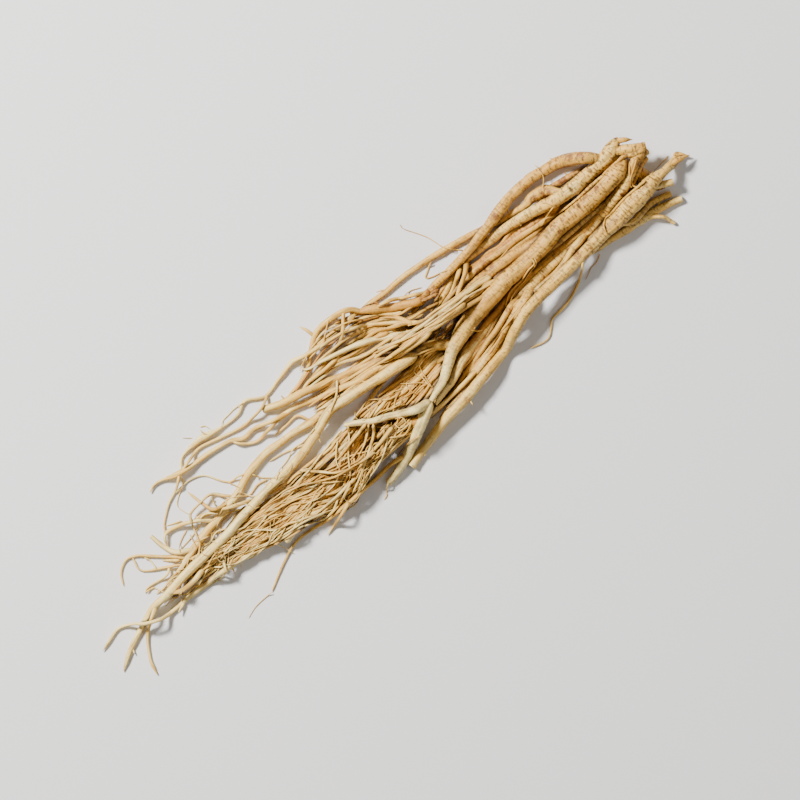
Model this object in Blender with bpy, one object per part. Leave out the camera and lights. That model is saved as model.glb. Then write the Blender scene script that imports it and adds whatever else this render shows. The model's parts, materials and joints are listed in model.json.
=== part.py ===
"""Astragalus root: one dried plant's whole root, lying on a surface.

Several main roots grow from one woody crown, run side by side, taper, branch and end in fine
tails. All of it grew as one piece, so it is one solid. Metres, +Z up, +X from the tails to the
crown, origin under the middle of the root's box, on the surface that it rests on.

Each root's route is drawn by hand on a plan seen from above. The plan's x runs right and its y runs
down, both in plan units. A third value at a point is the root's width there, in plan units too.
The routes are listed from the lowest root to the highest. Each is laid on those before it.
"""

import math
from typing import NamedTuple

import bmesh
import bpy
import numpy as np
from mathutils import Matrix

# Driving dimensions, in metres and degrees.
PLAN_UNIT = 0.0008
CROWN_BEARING = 40.5
CLEARANCE = 0.0006
WORN_FLAT = 0.0004
WORN_LEAST_WIDTH = 0.0056
LEAST_WIDTH = 0.0013

# The plan, in plan units.
PLAN_SIDE = 800
PLAN_CENTRE = (375.6, 382.9)
CROWN_SPOT = (634.0, 172.0)
CREAM_HEAD_SPOT = (410.0, 358.0)

# How the roots are grown together, as shares of a root's radius, and in plan units.
PRESSED_SHARE = 0.4
CROWN_REACH = 30.0
CREAM_HEAD_REACH = 12.0
PRESS_FADE = 16.0

# How finely a route is followed, in plan units.
SAMPLE_STEP = 2.0
STIFF_REACH = 5.0
STIFF_PER_WIDTH = 0.9
CURVE_STEPS = 12
GRAFT_REACH = 10.0
GRAFT_PER_WIDTH = 1.5

# Rings and sides of the solid, in plan units: a ring stands wherever a root bends or swells by more.
BEND_ALLOWED = 0.45
BEND_PER_WIDTH = 0.05
LONGEST_RUN = 60.0
SIDES_BY_WIDTH = ((11.0, 7), (6.0, 6), (4.2, 5), (2.6, 4), (0.0, 3))
PHASE_STEP = 0.37
JOINED_TRIANGLES = 10200

# Fine fibres of the matted lower half.
FIBRE_SEED = 7
FIBRE_COUNT = 34
FIBRE_WIDTHS = (2.2, 4.4)
FIBRE_LENGTHS = (0.16, 0.34)
FIBRE_DRIFT = 0.3
FIBRE_POINTS = 6
FIBRE_WANDER = 0.03
FIBRE_SIDES = (0.05, 0.95)
FIBRE_TAPER = 0.4

BARK_COLOUR = (0.68, 0.47, 0.22, 1.0)
BARK_ROUGHNESS = 0.75


class Route(NamedTuple):
    """A root's name, the root that it grows from, its points, and the root that its tip meets."""

    name: str
    parent: str
    points: tuple
    meets: str = ""


# The crown, and the roots that lie lowest.
LOW_ROUTES = (
    Route("crown_collar", "", (
        (665, 187, 10.5), (651, 182, 15), (636, 173, 16), (622, 163, 15), (611, 152, 11.5), (606, 146, 8))),
    Route("stub_behind_crown", "", ((645, 159, 8), (640, 166), (636, 175), (626, 195, 6), (616, 207, 4.5))),
    Route("under_upper", "", ((606, 153, 8), (586, 167), (566, 179), (547, 190, 7), (536, 196, 4.5))),
    Route("orange_wide", "upper_main", (
        (564, 203, 10), (553, 210.5, 12), (530.5, 227, 12), (513.5, 239.5, 11), (497, 253.5, 11.5),
        (484, 262.5, 11.5), (468, 277, 10), (458, 296, 6))),
    Route("orange_narrow", "front_main", (
        (572, 214, 9), (560, 224, 10.5), (530, 245, 11), (502, 263), (480, 280, 10), (462, 294, 8),
        (454, 304, 4.5))),
    Route("middle_main", "", (
        (645, 150, 10.5), (638, 157, 11.5), (632, 168), (627, 178, 12), (621, 190), (612, 202, 12),
        (603, 213, 11.5), (595, 223.5, 11), (587, 233, 10.5), (577, 243), (566, 253, 11),
        (553, 264.5, 11.5), (545, 272), (534.5, 282, 11), (524, 291, 10.5), (514, 300, 10),
        (506, 308, 8))),
    Route("shaded_inner", "front_main", (
        (596, 206.5, 8), (586, 216.5, 8), (575, 226.5), (566, 238, 8), (556, 248, 9), (545, 258, 9),
        (534, 268), (524, 277), (514, 286, 7))),
    Route("pale_inner", "middle_main", (
        (590, 231, 6), (583, 239, 7), (575, 247.5, 7.5), (569, 257, 7), (562, 266.5, 6.5), (555, 274),
        (547, 281), (539, 288.5, 6), (522, 305, 6), (508, 319, 4.5))),
    Route("inner_long", "middle_main", (
        (536, 286, 8), (526, 300, 10), (510, 321), (494, 345), (480, 368, 10), (468, 388), (456, 402, 8),
        (440, 418, 6))),
    Route("stub_long", "right_main", (
        (582, 256, 5), (598, 247.5, 7), (612, 237.5, 8.5), (628, 227, 10.5), (640, 220, 10.5),
        (650, 214.5, 9.5), (660, 209, 8), (672, 203, 7.5), (682, 199, 7))),
    Route("stub_low", "stub_long", (
        (645, 219, 6), (656, 217.5, 4.5), (664, 218), (669.5, 221), (674, 224, 3.8))),
    Route("stub_middle", "right_main", (
        (620, 229, 6), (629, 226), (637, 217, 6.5), (646, 207), (656, 200), (671, 194, 6.5))),
    Route("stub_high", "right_main", ((645, 197, 7), (651, 192), (658, 186), (672, 182, 6.5))),
    Route("right_main", "", (
        (681, 154.5, 10), (672, 164, 10), (663, 172.5, 10), (655, 181, 14), (648, 188, 16),
        (632, 204.5, 17.5), (616, 220.5, 15), (604.5, 232.5, 12.5), (594.5, 243, 12.5), (581, 256, 11.5),
        (570, 267.5, 11.5), (547, 290, 11), (527, 311, 10), (514, 332, 9.5), (504.5, 350, 9),
        (494, 364, 9), (478, 383, 10), (462, 403), (445, 420, 10), (428, 442, 9), (411, 466, 9))),
    Route("hanging_rootlet", "right_main", (
        (588, 256, 4.5), (583, 266, 3.8), (578, 284), (566, 305), (553, 318, 2.8), (551, 328),
        (547, 339), (530, 348, 1.9))),
)

# The upper side, and the woven strands of the far left.
UPPER_ROUTES = (
    Route("knotty_upper", "upper_main", (
        (566, 189, 9), (557, 191, 9), (545, 191.5, 12), (533, 198, 11), (525, 206.5, 8), (511, 215, 7.5),
        (498, 222.5, 7.5), (478, 232, 7), (447, 248.5, 7), (410, 271.5), (385, 293), (362, 309, 5))),
    Route("upper_main", "", (
        (616.5, 138, 7), (614, 144, 12), (611, 150.5, 16), (605.5, 158, 16), (595, 168, 14.5),
        (584, 178.5, 13.5), (574, 187.5, 14), (563, 196, 13), (552, 203, 12), (540, 208.5, 11),
        (522, 218, 10.5), (507, 227, 10), (493, 237, 10), (478, 249, 9.5), (464, 260, 8.5),
        (457, 271, 8), (447, 291, 7.5), (433, 315, 6))),
    Route("upper_stub", "upper_main", (
        (612, 152, 10), (622, 149.5, 9.5), (634, 147.5, 9.5), (645, 146, 10))),
    Route("upper_spur", "upper_main", ((615, 143, 7), (620, 140.5, 6), (626, 140, 5), (632, 140, 2.2))),
    Route("arching_upper", "upper_main", (
        (600, 158, 11), (588, 157.5, 11.5), (577, 158.5, 12), (566, 160.5, 12), (556, 164, 11.5),
        (543, 171.5, 11), (530, 179, 11), (511, 196.5, 10), (501.5, 209.5, 10.5), (489, 227, 10),
        (476.5, 242, 9.5), (464, 256.5, 8.5), (441, 280, 8), (422, 299, 7), (411, 318, 6), (404, 329, 4.5))),
    Route("upper_sliver", "upper_main", ((462, 262, 5), (456, 280), (446, 306, 4), (436, 326, 4))),
    Route("upper_side", "upper_main", ((466, 258, 6), (464, 275, 5), (455, 302, 4.5))),
    Route("left_broad", "arching_upper", (
        (432, 290, 8), (420, 300, 10), (400, 306), (370, 310), (350, 313, 9))),
    Route("left_over", "arching_upper", ((427, 291, 4.5), (405, 297), (390, 300), (377, 306, 4.5))),
    Route("left_fall", "left_broad", (
        (362, 309, 6.5), (350, 309), (332, 318), (316, 333, 6), (310, 355), (308, 368, 5),
        (300, 383, 4.5), (286, 401, 3.8)), "straw_long"),
    Route("left_far", "left_broad", (
        (356, 313, 6), (345, 325), (325, 342), (305, 356, 5), (292, 363, 6), (278, 380, 3.8),
        (265, 396, 3.5), (245, 401, 4.5), (238, 414, 3.2), (222, 427, 3.2), (206, 436, 7), (197, 442, 6),
        (183, 456, 2.6), (180, 472, 2.8)), "fringe_long"),
    Route("left_weave", "cross_upper", (
        (412, 322, 6), (395, 318), (375, 322), (355, 332), (338, 345), (326, 362, 5), (317, 373, 6),
        (303, 393, 3.8)), "straw_long"),
    Route("left_inner", "cross_upper", (
        (418, 319, 5), (398, 325), (372, 332, 5.5), (350, 345), (332, 362), (312, 379, 4.5),
        (298, 390, 4)), "straw_long"),
    Route("white_weave", "cross_lower", (
        (418, 332, 6), (395, 335), (365, 342, 6.5), (345, 350), (325, 360, 4.5), (308, 369, 3.2),
        (301, 368, 3.2))),
    Route("weave_cross", "left_fall", ((345, 312, 4.5), (343, 335), (335, 352, 4.5)), "left_weave"),
    Route("weave_stub", "left_fall", ((315, 336, 3.8), (308, 331), (300, 327, 3.2))),
)

# Strands that cross the middle, and the long ones that lead to the lower left.
MIDDLE_ROUTES = (
    Route("cross_upper", "front_main", (
        (507, 276, 5), (480, 287), (450, 306), (430, 318), (408, 326, 4.5))),
    Route("cross_lower", "front_main", (
        (490, 296, 7), (460, 306), (435, 320), (415, 332), (400, 338, 6.5), (387, 346, 4.5))),
    Route("straw_long", "cross_lower", (
        (447, 316, 8), (430, 328), (400, 348), (370, 364), (340, 377), (306, 391), (283, 403),
        (263, 410, 7.5))),
    Route("wide_middle", "front_main", (
        (453, 342, 10.5), (430, 347, 11.5), (400, 360), (375, 373), (350, 392, 9), (334, 406, 8),
        (306, 425), (283, 440, 7.5), (262, 457), (248, 474), (238, 492, 8), (224, 512), (208, 530),
        (193, 549, 7), (181, 569), (165, 596, 6)), "cream_long"),
    Route("straw_sister", "cross_lower", (
        (437, 321, 5), (424, 337, 6), (398, 355), (372, 372, 6.5), (357, 382), (335, 391),
        (315, 400, 7), (295, 409), (276, 421, 6))),
    Route("fringe_long", "straw_sister", (
        (290, 411, 4.5), (274, 420, 5), (255, 429), (244, 438, 5), (230, 441, 4.5), (210, 453),
        (190, 467), (176, 475, 6), (162, 480, 3.5), (154, 485, 3.2), (150, 492, 4.5))),
    Route("fringe_loop", "straw_sister", (
        (279, 419, 4.5), (268, 431), (258, 441), (243, 444), (230, 441, 3.2)), "fringe_long"),
    Route("fringe_upper", "left_far", (
        (266, 395, 3.2), (264, 402, 3.5), (259, 411), (243, 426), (221, 437), (200, 448), (190, 460),
        (181, 471, 3.8)), "fringe_long"),
    Route("fringe_drop", "fringe_long", (
        (179, 473, 3.8), (177, 487, 3.2), (169, 502, 2.6), (165, 518, 2.2), (162, 536, 2.2)), "tail_curl"),
    Route("fringe_bridge", "wide_middle", (
        (250, 472, 2.2), (238, 476), (228, 481), (206, 475), (190, 480), (174, 494, 2.2)), "fringe_drop"),
    Route("fringe_spike", "wide_middle", (
        (312, 420, 3.2), (298, 415, 3.2), (287, 425), (275, 436, 2.6))),
    Route("fringe_spur", "cream_long", ((310, 442, 2.2), (296, 447), (284, 452), (269, 461, 1.9))),
)

# The matted strands of the lower half.
MAT_ROUTES = (
    Route("mat_centre", "front_main", (
        (448, 352, 6), (430, 368), (400, 402), (370, 437), (340, 472), (303, 502), (265, 528),
        (225, 552), (190, 575, 4.5), (174, 590, 4.5)), "cream_long"),
    Route("mat_right", "pale_beside_front", (
        (458, 372, 6), (432, 402), (403, 433), (375, 463), (350, 492), (318, 510), (283, 525),
        (252, 545), (228, 567, 4.5))),
    Route("mat_left", "wide_middle", (
        (428, 350, 6), (395, 390), (365, 420), (335, 452), (300, 478), (265, 503), (232, 530),
        (203, 553), (188, 563, 4.5)), "wide_middle"),
    Route("mat_far_left", "wide_middle", (
        (398, 362, 4.5), (368, 402), (345, 432), (312, 462), (278, 488), (243, 503), (207, 514),
        (192, 521, 4.5))),
    Route("flat_strip", "front_fork_down", (
        (422, 411, 9), (413, 418, 10.5), (403, 430), (389, 449, 9))),
    Route("mat_edge", "flat_strip", (
        (397, 440, 6), (378, 462), (360, 485), (345, 505), (318, 514), (290, 528), (262, 548, 7),
        (238, 560, 7), (228, 571, 4.5))),
    Route("mat_stub", "mat_edge", ((301, 523, 6), (295, 530, 7), (288, 541, 6))),
)

# The roots on top, and the tails.
TOP_ROUTES = (
    Route("pale_beside_front", "middle_main", (
        (503, 297, 5), (497, 309, 6.5), (493, 318, 8.5), (485, 328, 9.5), (477, 338, 10), (470, 348, 10),
        (462.5, 359, 9.5), (457, 370, 9), (449, 384, 8.5), (441, 395, 8), (434, 403, 7))),
    Route("pale_second", "middle_main", (
        (520, 294, 6), (509, 309, 6), (496, 330, 5.5), (482, 350, 5.5), (470, 368, 5.5), (459, 385),
        (446, 402), (432, 418, 5))),
    Route("pale_crossing", "inner_long", (
        (481, 366, 5), (460, 388), (440, 407), (425, 420, 4.5), (413, 433, 3.8))),
    Route("front_main", "", (
        (622, 166, 13), (617.5, 173, 17), (605.5, 184.5, 17), (596, 194, 17.5), (585, 205, 17),
        (570.5, 217, 16.5), (556.5, 229, 16.5), (544.5, 244, 16), (533, 256, 16), (511.5, 276, 17),
        (496.5, 291.5, 16), (484, 304, 17), (468.5, 322, 16), (457.5, 340, 14), (451.3, 352, 12),
        (447, 366, 10.5), (442, 381, 10.5), (431, 401, 14))),
    Route("front_fork_down", "front_main", (
        (431, 401, 11.5), (421, 425, 10.5), (409, 452, 10), (395, 475, 8), (388, 483, 7))),
    Route("front_fork_white", "front_main", (
        (431, 401, 10.5), (420, 408, 9), (402, 414), (363, 422, 7), (345, 425, 5))),
    Route("cream_long", "", (
        (417, 355, 10.5), (400, 366, 10.5), (370, 384), (344, 400, 10), (331, 410), (315, 435, 8.5),
        (302, 455), (283, 475), (252, 508, 9), (222, 540), (192, 568, 10), (172, 590, 10.5),
        (152, 611, 9), (140, 632, 7.5), (131, 650, 7), (124, 671, 6.5))),
    Route("tail_right", "cream_long", (
        (158, 605, 5), (151, 622, 5), (148, 640, 4.5), (150, 658, 4.5), (157, 674, 5))),
    Route("tail_low", "mat_edge", (
        (238, 560, 6), (215, 577, 5), (188, 598), (166, 616), (147, 623, 4.5), (133, 624, 3.7),
        (118, 629), (109, 642, 3.7), (103, 651, 2.6))),
    Route("tail_spur", "tail_low", ((184, 602, 4.5), (178, 612, 4.5))),
    Route("tail_middle", "mat_centre", (
        (208, 563, 6), (195, 580), (182, 590), (170, 596, 4.5)), "cream_long"),
    Route("tail_blunt", "wide_middle", ((193, 549, 6), (176, 552), (164, 546), (151, 536, 4.5))),
    Route("tail_hook", "wide_middle", (
        (187, 557, 4.5), (160, 557), (136, 556, 3.2), (125, 561, 2.6), (121, 573, 2.2), (123, 586, 1.9))),
    Route("tail_ring", "wide_middle", (
        (183, 565, 3.7), (163, 568, 3.2), (150, 571, 2.4), (139, 570), (131, 558, 2.2)), "tail_hook"),
    Route("tail_thorn", "tail_ring", ((169, 566, 3.2), (166, 576), (149, 587, 2.6), (145, 593, 2.2))),
    Route("tail_curl", "wide_middle", (
        (213, 518, 4.5), (195, 521), (180, 525, 4.5), (165, 534, 3.8), (167, 549, 3.2)), "tail_blunt"),
    Route("tail_horn", "wide_middle", (
        (230, 504, 4.5), (214, 510, 4.5), (203, 504), (188, 492, 2.8))),
    Route("tail_bow", "wide_middle", (
        (236, 498, 3.2), (213, 494, 3.7), (200, 503, 3.2), (190, 514), (192, 521, 3.2)), "tail_curl"),
    Route("thin_right", "front_fork_down", (
        (408, 453, 6), (390, 465, 5), (362, 491), (335, 514, 4.5), (300, 538, 3.2), (284, 562, 2.4),
        (272, 592, 1.9))),
    Route("thin_right_spur", "thin_right", ((349, 503, 4.5), (337, 521, 3.8), (327, 535, 1.9))),
)

# The two sides of the matted part, from the top of the mat to its tail.
MAT_LEFT_SIDE = (
    (404, 372), (372, 398), (345, 425), (315, 456), (285, 485), (255, 512), (225, 540), (190, 572))
MAT_RIGHT_SIDE = (
    (444, 398), (410, 436), (382, 460), (352, 500), (312, 518), (276, 540), (240, 557), (196, 588))


def clear_scene():
    """Remove every object that the scene already holds."""
    for item in list(bpy.data.objects):
        bpy.data.objects.remove(item, do_unlink=True)


def smoothstep(value):
    """Ease from 0 to 1 as value goes from 0 to 1."""
    eased = np.clip(value, 0.0, 1.0)
    return eased * eased * (3.0 - 2.0 * eased)


def filled_widths(points):
    """Give each point its width: stated ones stay, and those between them follow in proportion."""
    given = [index for index, point in enumerate(points) if len(point) > 2]
    return np.interp(range(len(points)), given, [points[index][2] for index in given])


def follow(points, step):
    """Return places and widths at even steps along a smooth curve through the points."""
    knots = np.array([point[:2] for point in points], dtype=float)
    widths = filled_widths(points)
    ends = np.vstack((2 * knots[0] - knots[1], knots, 2 * knots[-1] - knots[-2]))
    fine_places = []
    fine_widths = []
    for index in range(len(knots) - 1):
        before, start, end, after = ends[index:index + 4]
        for share in np.linspace(0.0, 1.0, CURVE_STEPS, endpoint=False):
            bend = (
                2 * start + (end - before) * share
                + (2 * before - 5 * start + 4 * end - after) * share ** 2
                + (3 * start - before - 3 * end + after) * share ** 3)
            fine_places.append(bend / 2)
            fine_widths.append(widths[index] + (widths[index + 1] - widths[index]) * share)
    fine_places.append(knots[-1])
    fine_widths.append(widths[-1])
    fine_places = np.array(fine_places)
    run = np.concatenate(([0.0], np.cumsum(np.linalg.norm(np.diff(fine_places, axis=0), axis=1))))
    even = np.linspace(0.0, run[-1], max(2, round(run[-1] / step)) + 1)
    places = np.column_stack([np.interp(even, run, fine_places[:, axis]) for axis in range(2)])
    return places, np.interp(even, run, fine_widths)


def spread(values, reach):
    """Smooth a row of heights over a reach of samples, without letting it sink into its peaks."""
    count = max(1, round(reach))
    padded = np.pad(values, 2 * count, mode="edge")
    windows = np.lib.stride_tricks.sliding_window_view(padded, 2 * count + 1)
    raised = windows.max(axis=1)
    weights = np.hanning(2 * count + 3)[1:-1]
    return np.convolve(raised, weights / weights.sum(), mode="valid")


def press_weight(places):
    """Tell how far each place is grown together with what lies under it, from 0 to 1."""
    weight = np.zeros(len(places))
    for spot, reach in ((CROWN_SPOT, CROWN_REACH), (CREAM_HEAD_SPOT, CREAM_HEAD_REACH)):
        away = np.linalg.norm(places - np.array(spot), axis=1)
        weight = np.maximum(weight, 1.0 - smoothstep((away - reach) / PRESS_FADE))
    return weight


class Heap:
    """The height of what is laid so far, over the plan, in plan units."""

    def __init__(self):
        self.top = np.full((PLAN_SIDE, PLAN_SIDE), -np.inf)

    def around(self, place, radius):
        """Return the part of the plan under a ball at a place, and the ball's height over it."""
        low = np.floor(place - radius).astype(int)
        high = np.ceil(place + radius).astype(int) + 1
        window = (slice(low[0], high[0]), slice(low[1], high[1]))
        x, y = np.mgrid[window]
        square = radius ** 2 - (x - place[0]) ** 2 - (y - place[1]) ** 2
        return window, np.sqrt(np.maximum(square, 0.0)), square >= 0.0

    def rest(self, places, widths):
        """Return the height of a root's middle where it lies on the heap."""
        gap = CLEARANCE / PLAN_UNIT
        worn = widths.mean() * PLAN_UNIT >= WORN_LEAST_WIDTH
        floor = -WORN_FLAT / PLAN_UNIT if worn else gap / 2
        pressed = press_weight(places)
        heights = []
        for place, width, weight in zip(places, widths, pressed):
            window, ball, under = self.around(place, width / 2)
            touch = (self.top[window] + ball)[under].max()
            lift = gap * (1 - weight) - weight * PRESSED_SHARE * width / 2
            heights.append(max(floor + width / 2, touch + lift))
        reach = (STIFF_REACH + STIFF_PER_WIDTH * widths.mean()) / SAMPLE_STEP
        return spread(np.array(heights), reach)

    def add(self, places, heights, widths):
        """Lay a root on the heap."""
        for place, height, width in zip(places, heights, widths):
            window, ball, under = self.around(place, width / 2)
            covered = np.where(under, height + ball, -np.inf)
            self.top[window] = np.maximum(self.top[window], covered)


def fibre_routes():
    """Draw the mat's fine fibres: they run along it, from one side of it towards the other."""
    rng = np.random.default_rng(FIBRE_SEED)
    left, _ = follow([(*point, 1) for point in MAT_LEFT_SIDE], SAMPLE_STEP)
    right, _ = follow([(*point, 1) for point in MAT_RIGHT_SIDE], SAMPLE_STEP)
    routes = []
    for number in range(FIBRE_COUNT):
        length = rng.uniform(*FIBRE_LENGTHS)
        start = (number + rng.uniform()) / FIBRE_COUNT * (1.0 - length)
        side = rng.uniform(*FIBRE_SIDES)
        drift = rng.uniform(-FIBRE_DRIFT, FIBRE_DRIFT)
        width = rng.uniform(*FIBRE_WIDTHS)
        points = []
        for share in np.linspace(0.0, 1.0, FIBRE_POINTS):
            along = start + length * share
            across = np.clip(side + drift * share + rng.normal(0.0, FIBRE_WANDER), 0.0, 1.0)
            left_place = left[round(along * (len(left) - 1))]
            right_place = right[round(along * (len(right) - 1))]
            place = left_place * (1 - across) + right_place * across
            points.append((*place, width * (1.0 - FIBRE_TAPER * share)))
        routes.append(Route(f"fibre_{number + 1}", "nearest", tuple(points)))
    return routes


def nearest_sample(place, strands):
    """Return the middle of the strand sample that lies nearest to a place on the plan."""
    middles = np.vstack([np.column_stack((strand[0], strand[1])) for strand in strands])
    return middles[np.argmin(np.linalg.norm(middles[:, :2] - place, axis=1))]


def graft(strand, middle):
    """Bend a strand's first stretch so that it starts at a middle point inside another root."""
    places, heights, widths = strand
    run = np.arange(len(places)) * SAMPLE_STEP
    hold = 1.0 - smoothstep(run / (GRAFT_REACH + GRAFT_PER_WIDTH * widths[0]))
    places = places + np.outer(hold, middle[:2] - places[0])
    return places, heights + hold * (middle[2] - heights[0]), widths


def laid_strands():
    """Lay every route on the heap in turn, then graft each root to the one that it grows from."""
    heap = Heap()
    laid = {}
    routes = [*LOW_ROUTES, *UPPER_ROUTES, *MIDDLE_ROUTES, *MAT_ROUTES, *fibre_routes(), *TOP_ROUTES]
    for route in routes:
        places, widths = follow(route.points, SAMPLE_STEP)
        widths = np.maximum(widths, LEAST_WIDTH / PLAN_UNIT)
        heights = heap.rest(places, widths)
        heap.add(places, heights, widths)
        laid[route.name] = (places, heights, widths)
    for route in routes:
        strand = laid[route.name]
        if route.parent == "nearest":
            hosts = [laid[other.name] for other in routes if not other.name.startswith("fibre")]
            strand = graft(strand, nearest_sample(strand[0][0], hosts))
        elif route.parent:
            strand = graft(strand, nearest_sample(strand[0][0], [laid[route.parent]]))
        if route.meets:
            backwards = tuple(values[::-1] for values in strand)
            meeting = nearest_sample(backwards[0][0], [laid[route.meets]])
            strand = tuple(values[::-1] for values in graft(backwards, meeting))
        laid[route.name] = strand
    return laid


def to_world(places, heights):
    """Turn plan places and heights into metres, with +X towards the crown."""
    right = (places[:, 0] - PLAN_CENTRE[0]) * PLAN_UNIT
    up = (PLAN_CENTRE[1] - places[:, 1]) * PLAN_UNIT
    turn = math.radians(CROWN_BEARING)
    x = right * math.cos(turn) + up * math.sin(turn)
    y = up * math.cos(turn) - right * math.sin(turn)
    return np.column_stack((x, y, heights * PLAN_UNIT))


def ring_numbers(strand):
    """Choose which samples of a strand carry a ring, so that straight runs between them fit it."""
    places, heights, widths = strand
    course = np.column_stack((places, heights, widths / 2))
    allowed = BEND_ALLOWED + BEND_PER_WIDTH * widths.mean()
    chosen = {0, len(course) - 1}
    spans = [(0, len(course) - 1)]
    while spans:
        first, last = spans.pop()
        if last - first < 2:
            continue
        shares = np.linspace(0.0, 1.0, last - first + 1)[:, None]
        straight = course[first] * (1 - shares) + course[last] * shares
        misses = np.linalg.norm(course[first:last + 1] - straight, axis=1)
        middle = first + int(np.argmax(misses))
        if misses.max() <= allowed:
            if (last - first) * SAMPLE_STEP <= LONGEST_RUN:
                continue
            middle = (first + last) // 2
        chosen.add(middle)
        spans += [(first, middle), (middle, last)]
    return sorted(chosen)


def strand_mesh(name, strand, phase):
    """Build one root as a closed tube with a flat cap at each end."""
    places, heights, widths = strand
    middles = to_world(places, heights)
    chosen = ring_numbers(strand)
    sides = next(count for least, count in SIDES_BY_WIDTH if widths.mean() >= least)
    even_area = math.sqrt(2 * math.pi / (sides * math.sin(2 * math.pi / sides)))
    tangents = np.gradient(middles[chosen], axis=0)
    tangents /= np.linalg.norm(tangents, axis=1)[:, None]
    shape = bmesh.new()
    rings = []
    for number, tangent in zip(chosen, tangents):
        across = np.cross(tangent, (0.0, 0.0, 1.0))
        across /= np.linalg.norm(across)
        upward = np.cross(across, tangent)
        radius = widths[number] / 2 * PLAN_UNIT * even_area
        ring = []
        for side in range(sides):
            angle = 2 * math.pi * side / sides + phase
            offset = across * math.cos(angle) + upward * math.sin(angle)
            ring.append(shape.verts.new(middles[number] + radius * offset))
        rings.append(ring)
    for ring, following in zip(rings, rings[1:]):
        for side in range(sides):
            other = (side + 1) % sides
            shape.faces.new((ring[side], ring[other], following[other], following[side]))
    shape.faces.new(reversed(rings[0]))
    shape.faces.new(rings[-1])
    bmesh.ops.triangulate(shape, faces=shape.faces)
    bmesh.ops.recalc_face_normals(shape, faces=shape.faces)
    mesh = bpy.data.meshes.new(name)
    shape.to_mesh(mesh)
    shape.free()
    return mesh


def bark_material():
    """Dry straw-coloured bark."""
    material = bpy.data.materials.new("astragalus_bark")
    material.use_nodes = True
    shader = material.node_tree.nodes["Principled BSDF"]
    shader.inputs["Base Color"].default_value = BARK_COLOUR
    shader.inputs["Roughness"].default_value = BARK_ROUGHNESS
    shader.inputs["Metallic"].default_value = 0.0
    return material


def apply_modifiers(item):
    """Replace an object's mesh by what its modifiers make of it."""
    evaluated = item.evaluated_get(bpy.context.evaluated_depsgraph_get())
    mesh = bpy.data.meshes.new_from_object(evaluated)
    item.modifiers.clear()
    item.data = mesh


def join_strands(strands):
    """Join every strand into one object with one Boolean union."""
    others = bpy.data.collections.new("strands_to_join")
    bpy.context.scene.collection.children.link(others)
    root = None
    for number, (name, strand) in enumerate(strands.items()):
        item = bpy.data.objects.new(name, strand_mesh(name, strand, PHASE_STEP * number))
        if root is None:
            root = item
            bpy.context.scene.collection.objects.link(item)
        else:
            others.objects.link(item)
    union = root.modifiers.new("union", "BOOLEAN")
    union.operation = "UNION"
    union.operand_type = "COLLECTION"
    union.collection = others
    union.solver = "EXACT"
    apply_modifiers(root)
    triangulate(root)
    for item in list(others.objects):
        bpy.data.objects.remove(item, do_unlink=True)
    bpy.data.collections.remove(others)
    return root


def triangulate(root):
    """Split every face of an object's mesh into triangles."""
    shape = bmesh.new()
    shape.from_mesh(root.data)
    bmesh.ops.triangulate(shape, faces=shape.faces)
    shape.to_mesh(root.data)
    shape.free()


def thin_out(root):
    """Take the small faces out of the seams where roots join."""
    thin = root.modifiers.new("thin", "DECIMATE")
    thin.ratio = min(1.0, JOINED_TRIANGLES / len(root.data.polygons))
    apply_modifiers(root)


def wear_flat(root):
    """Cut the lowest roots flat where they rest on the surface."""
    side = 2 * PLAN_SIDE * PLAN_UNIT
    block = bmesh.new()
    bmesh.ops.create_cube(block, size=side, matrix=Matrix.Translation((0.0, 0.0, -side / 2)))
    mesh = bpy.data.meshes.new("surface")
    block.to_mesh(mesh)
    block.free()
    cutter = bpy.data.objects.new("surface", mesh)
    bpy.context.scene.collection.objects.link(cutter)
    cut = root.modifiers.new("flat", "BOOLEAN")
    cut.operation = "DIFFERENCE"
    cut.object = cutter
    cut.solver = "EXACT"
    apply_modifiers(root)
    bpy.data.objects.remove(cutter, do_unlink=True)


def keep_outer_body(root):
    """Keep the one outer skin: sealed hollows are filled and loose scraps are dropped."""
    shape = bmesh.new()
    shape.from_mesh(root.data)
    unseen = set(shape.verts)
    bodies = []
    while unseen:
        body = {unseen.pop()}
        edge_of_search = list(body)
        while edge_of_search:
            vertex = edge_of_search.pop()
            for edge in vertex.link_edges:
                neighbour = edge.other_vert(vertex)
                if neighbour in unseen:
                    unseen.remove(neighbour)
                    body.add(neighbour)
                    edge_of_search.append(neighbour)
        bodies.append(body)
    largest = max(bodies, key=len)
    spare = [vertex for body in bodies if body is not largest for vertex in body]
    bmesh.ops.delete(shape, geom=spare, context="VERTS")
    shape.to_mesh(root.data)
    shape.free()
    triangulate(root)


def main():
    """Build the root."""
    clear_scene()
    root = join_strands(laid_strands())
    thin_out(root)
    wear_flat(root)
    keep_outer_body(root)
    root.name = "astragalus_root"
    root.data.name = "astragalus_root"
    root.data.materials.clear()
    root.data.materials.append(bark_material())


main()
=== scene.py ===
"""The astragalus root as it looks: one dried plant's long roots, tails, matted rootlets and hairs.

Every long root is laid on those before it by the same rule as in the solid, so each lies where the
solid has it, within a few millimetres. Finer roots, rootlets and hairs are then laid in the gaps and
on top. One geometry node tree grows them all from their courses: it sweeps them, wrinkles their bark
and hollows their cut ends. The bark's colours, pores, wrinkles and scars follow each root's length.
"""

import json
import math
from typing import NamedTuple

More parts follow.
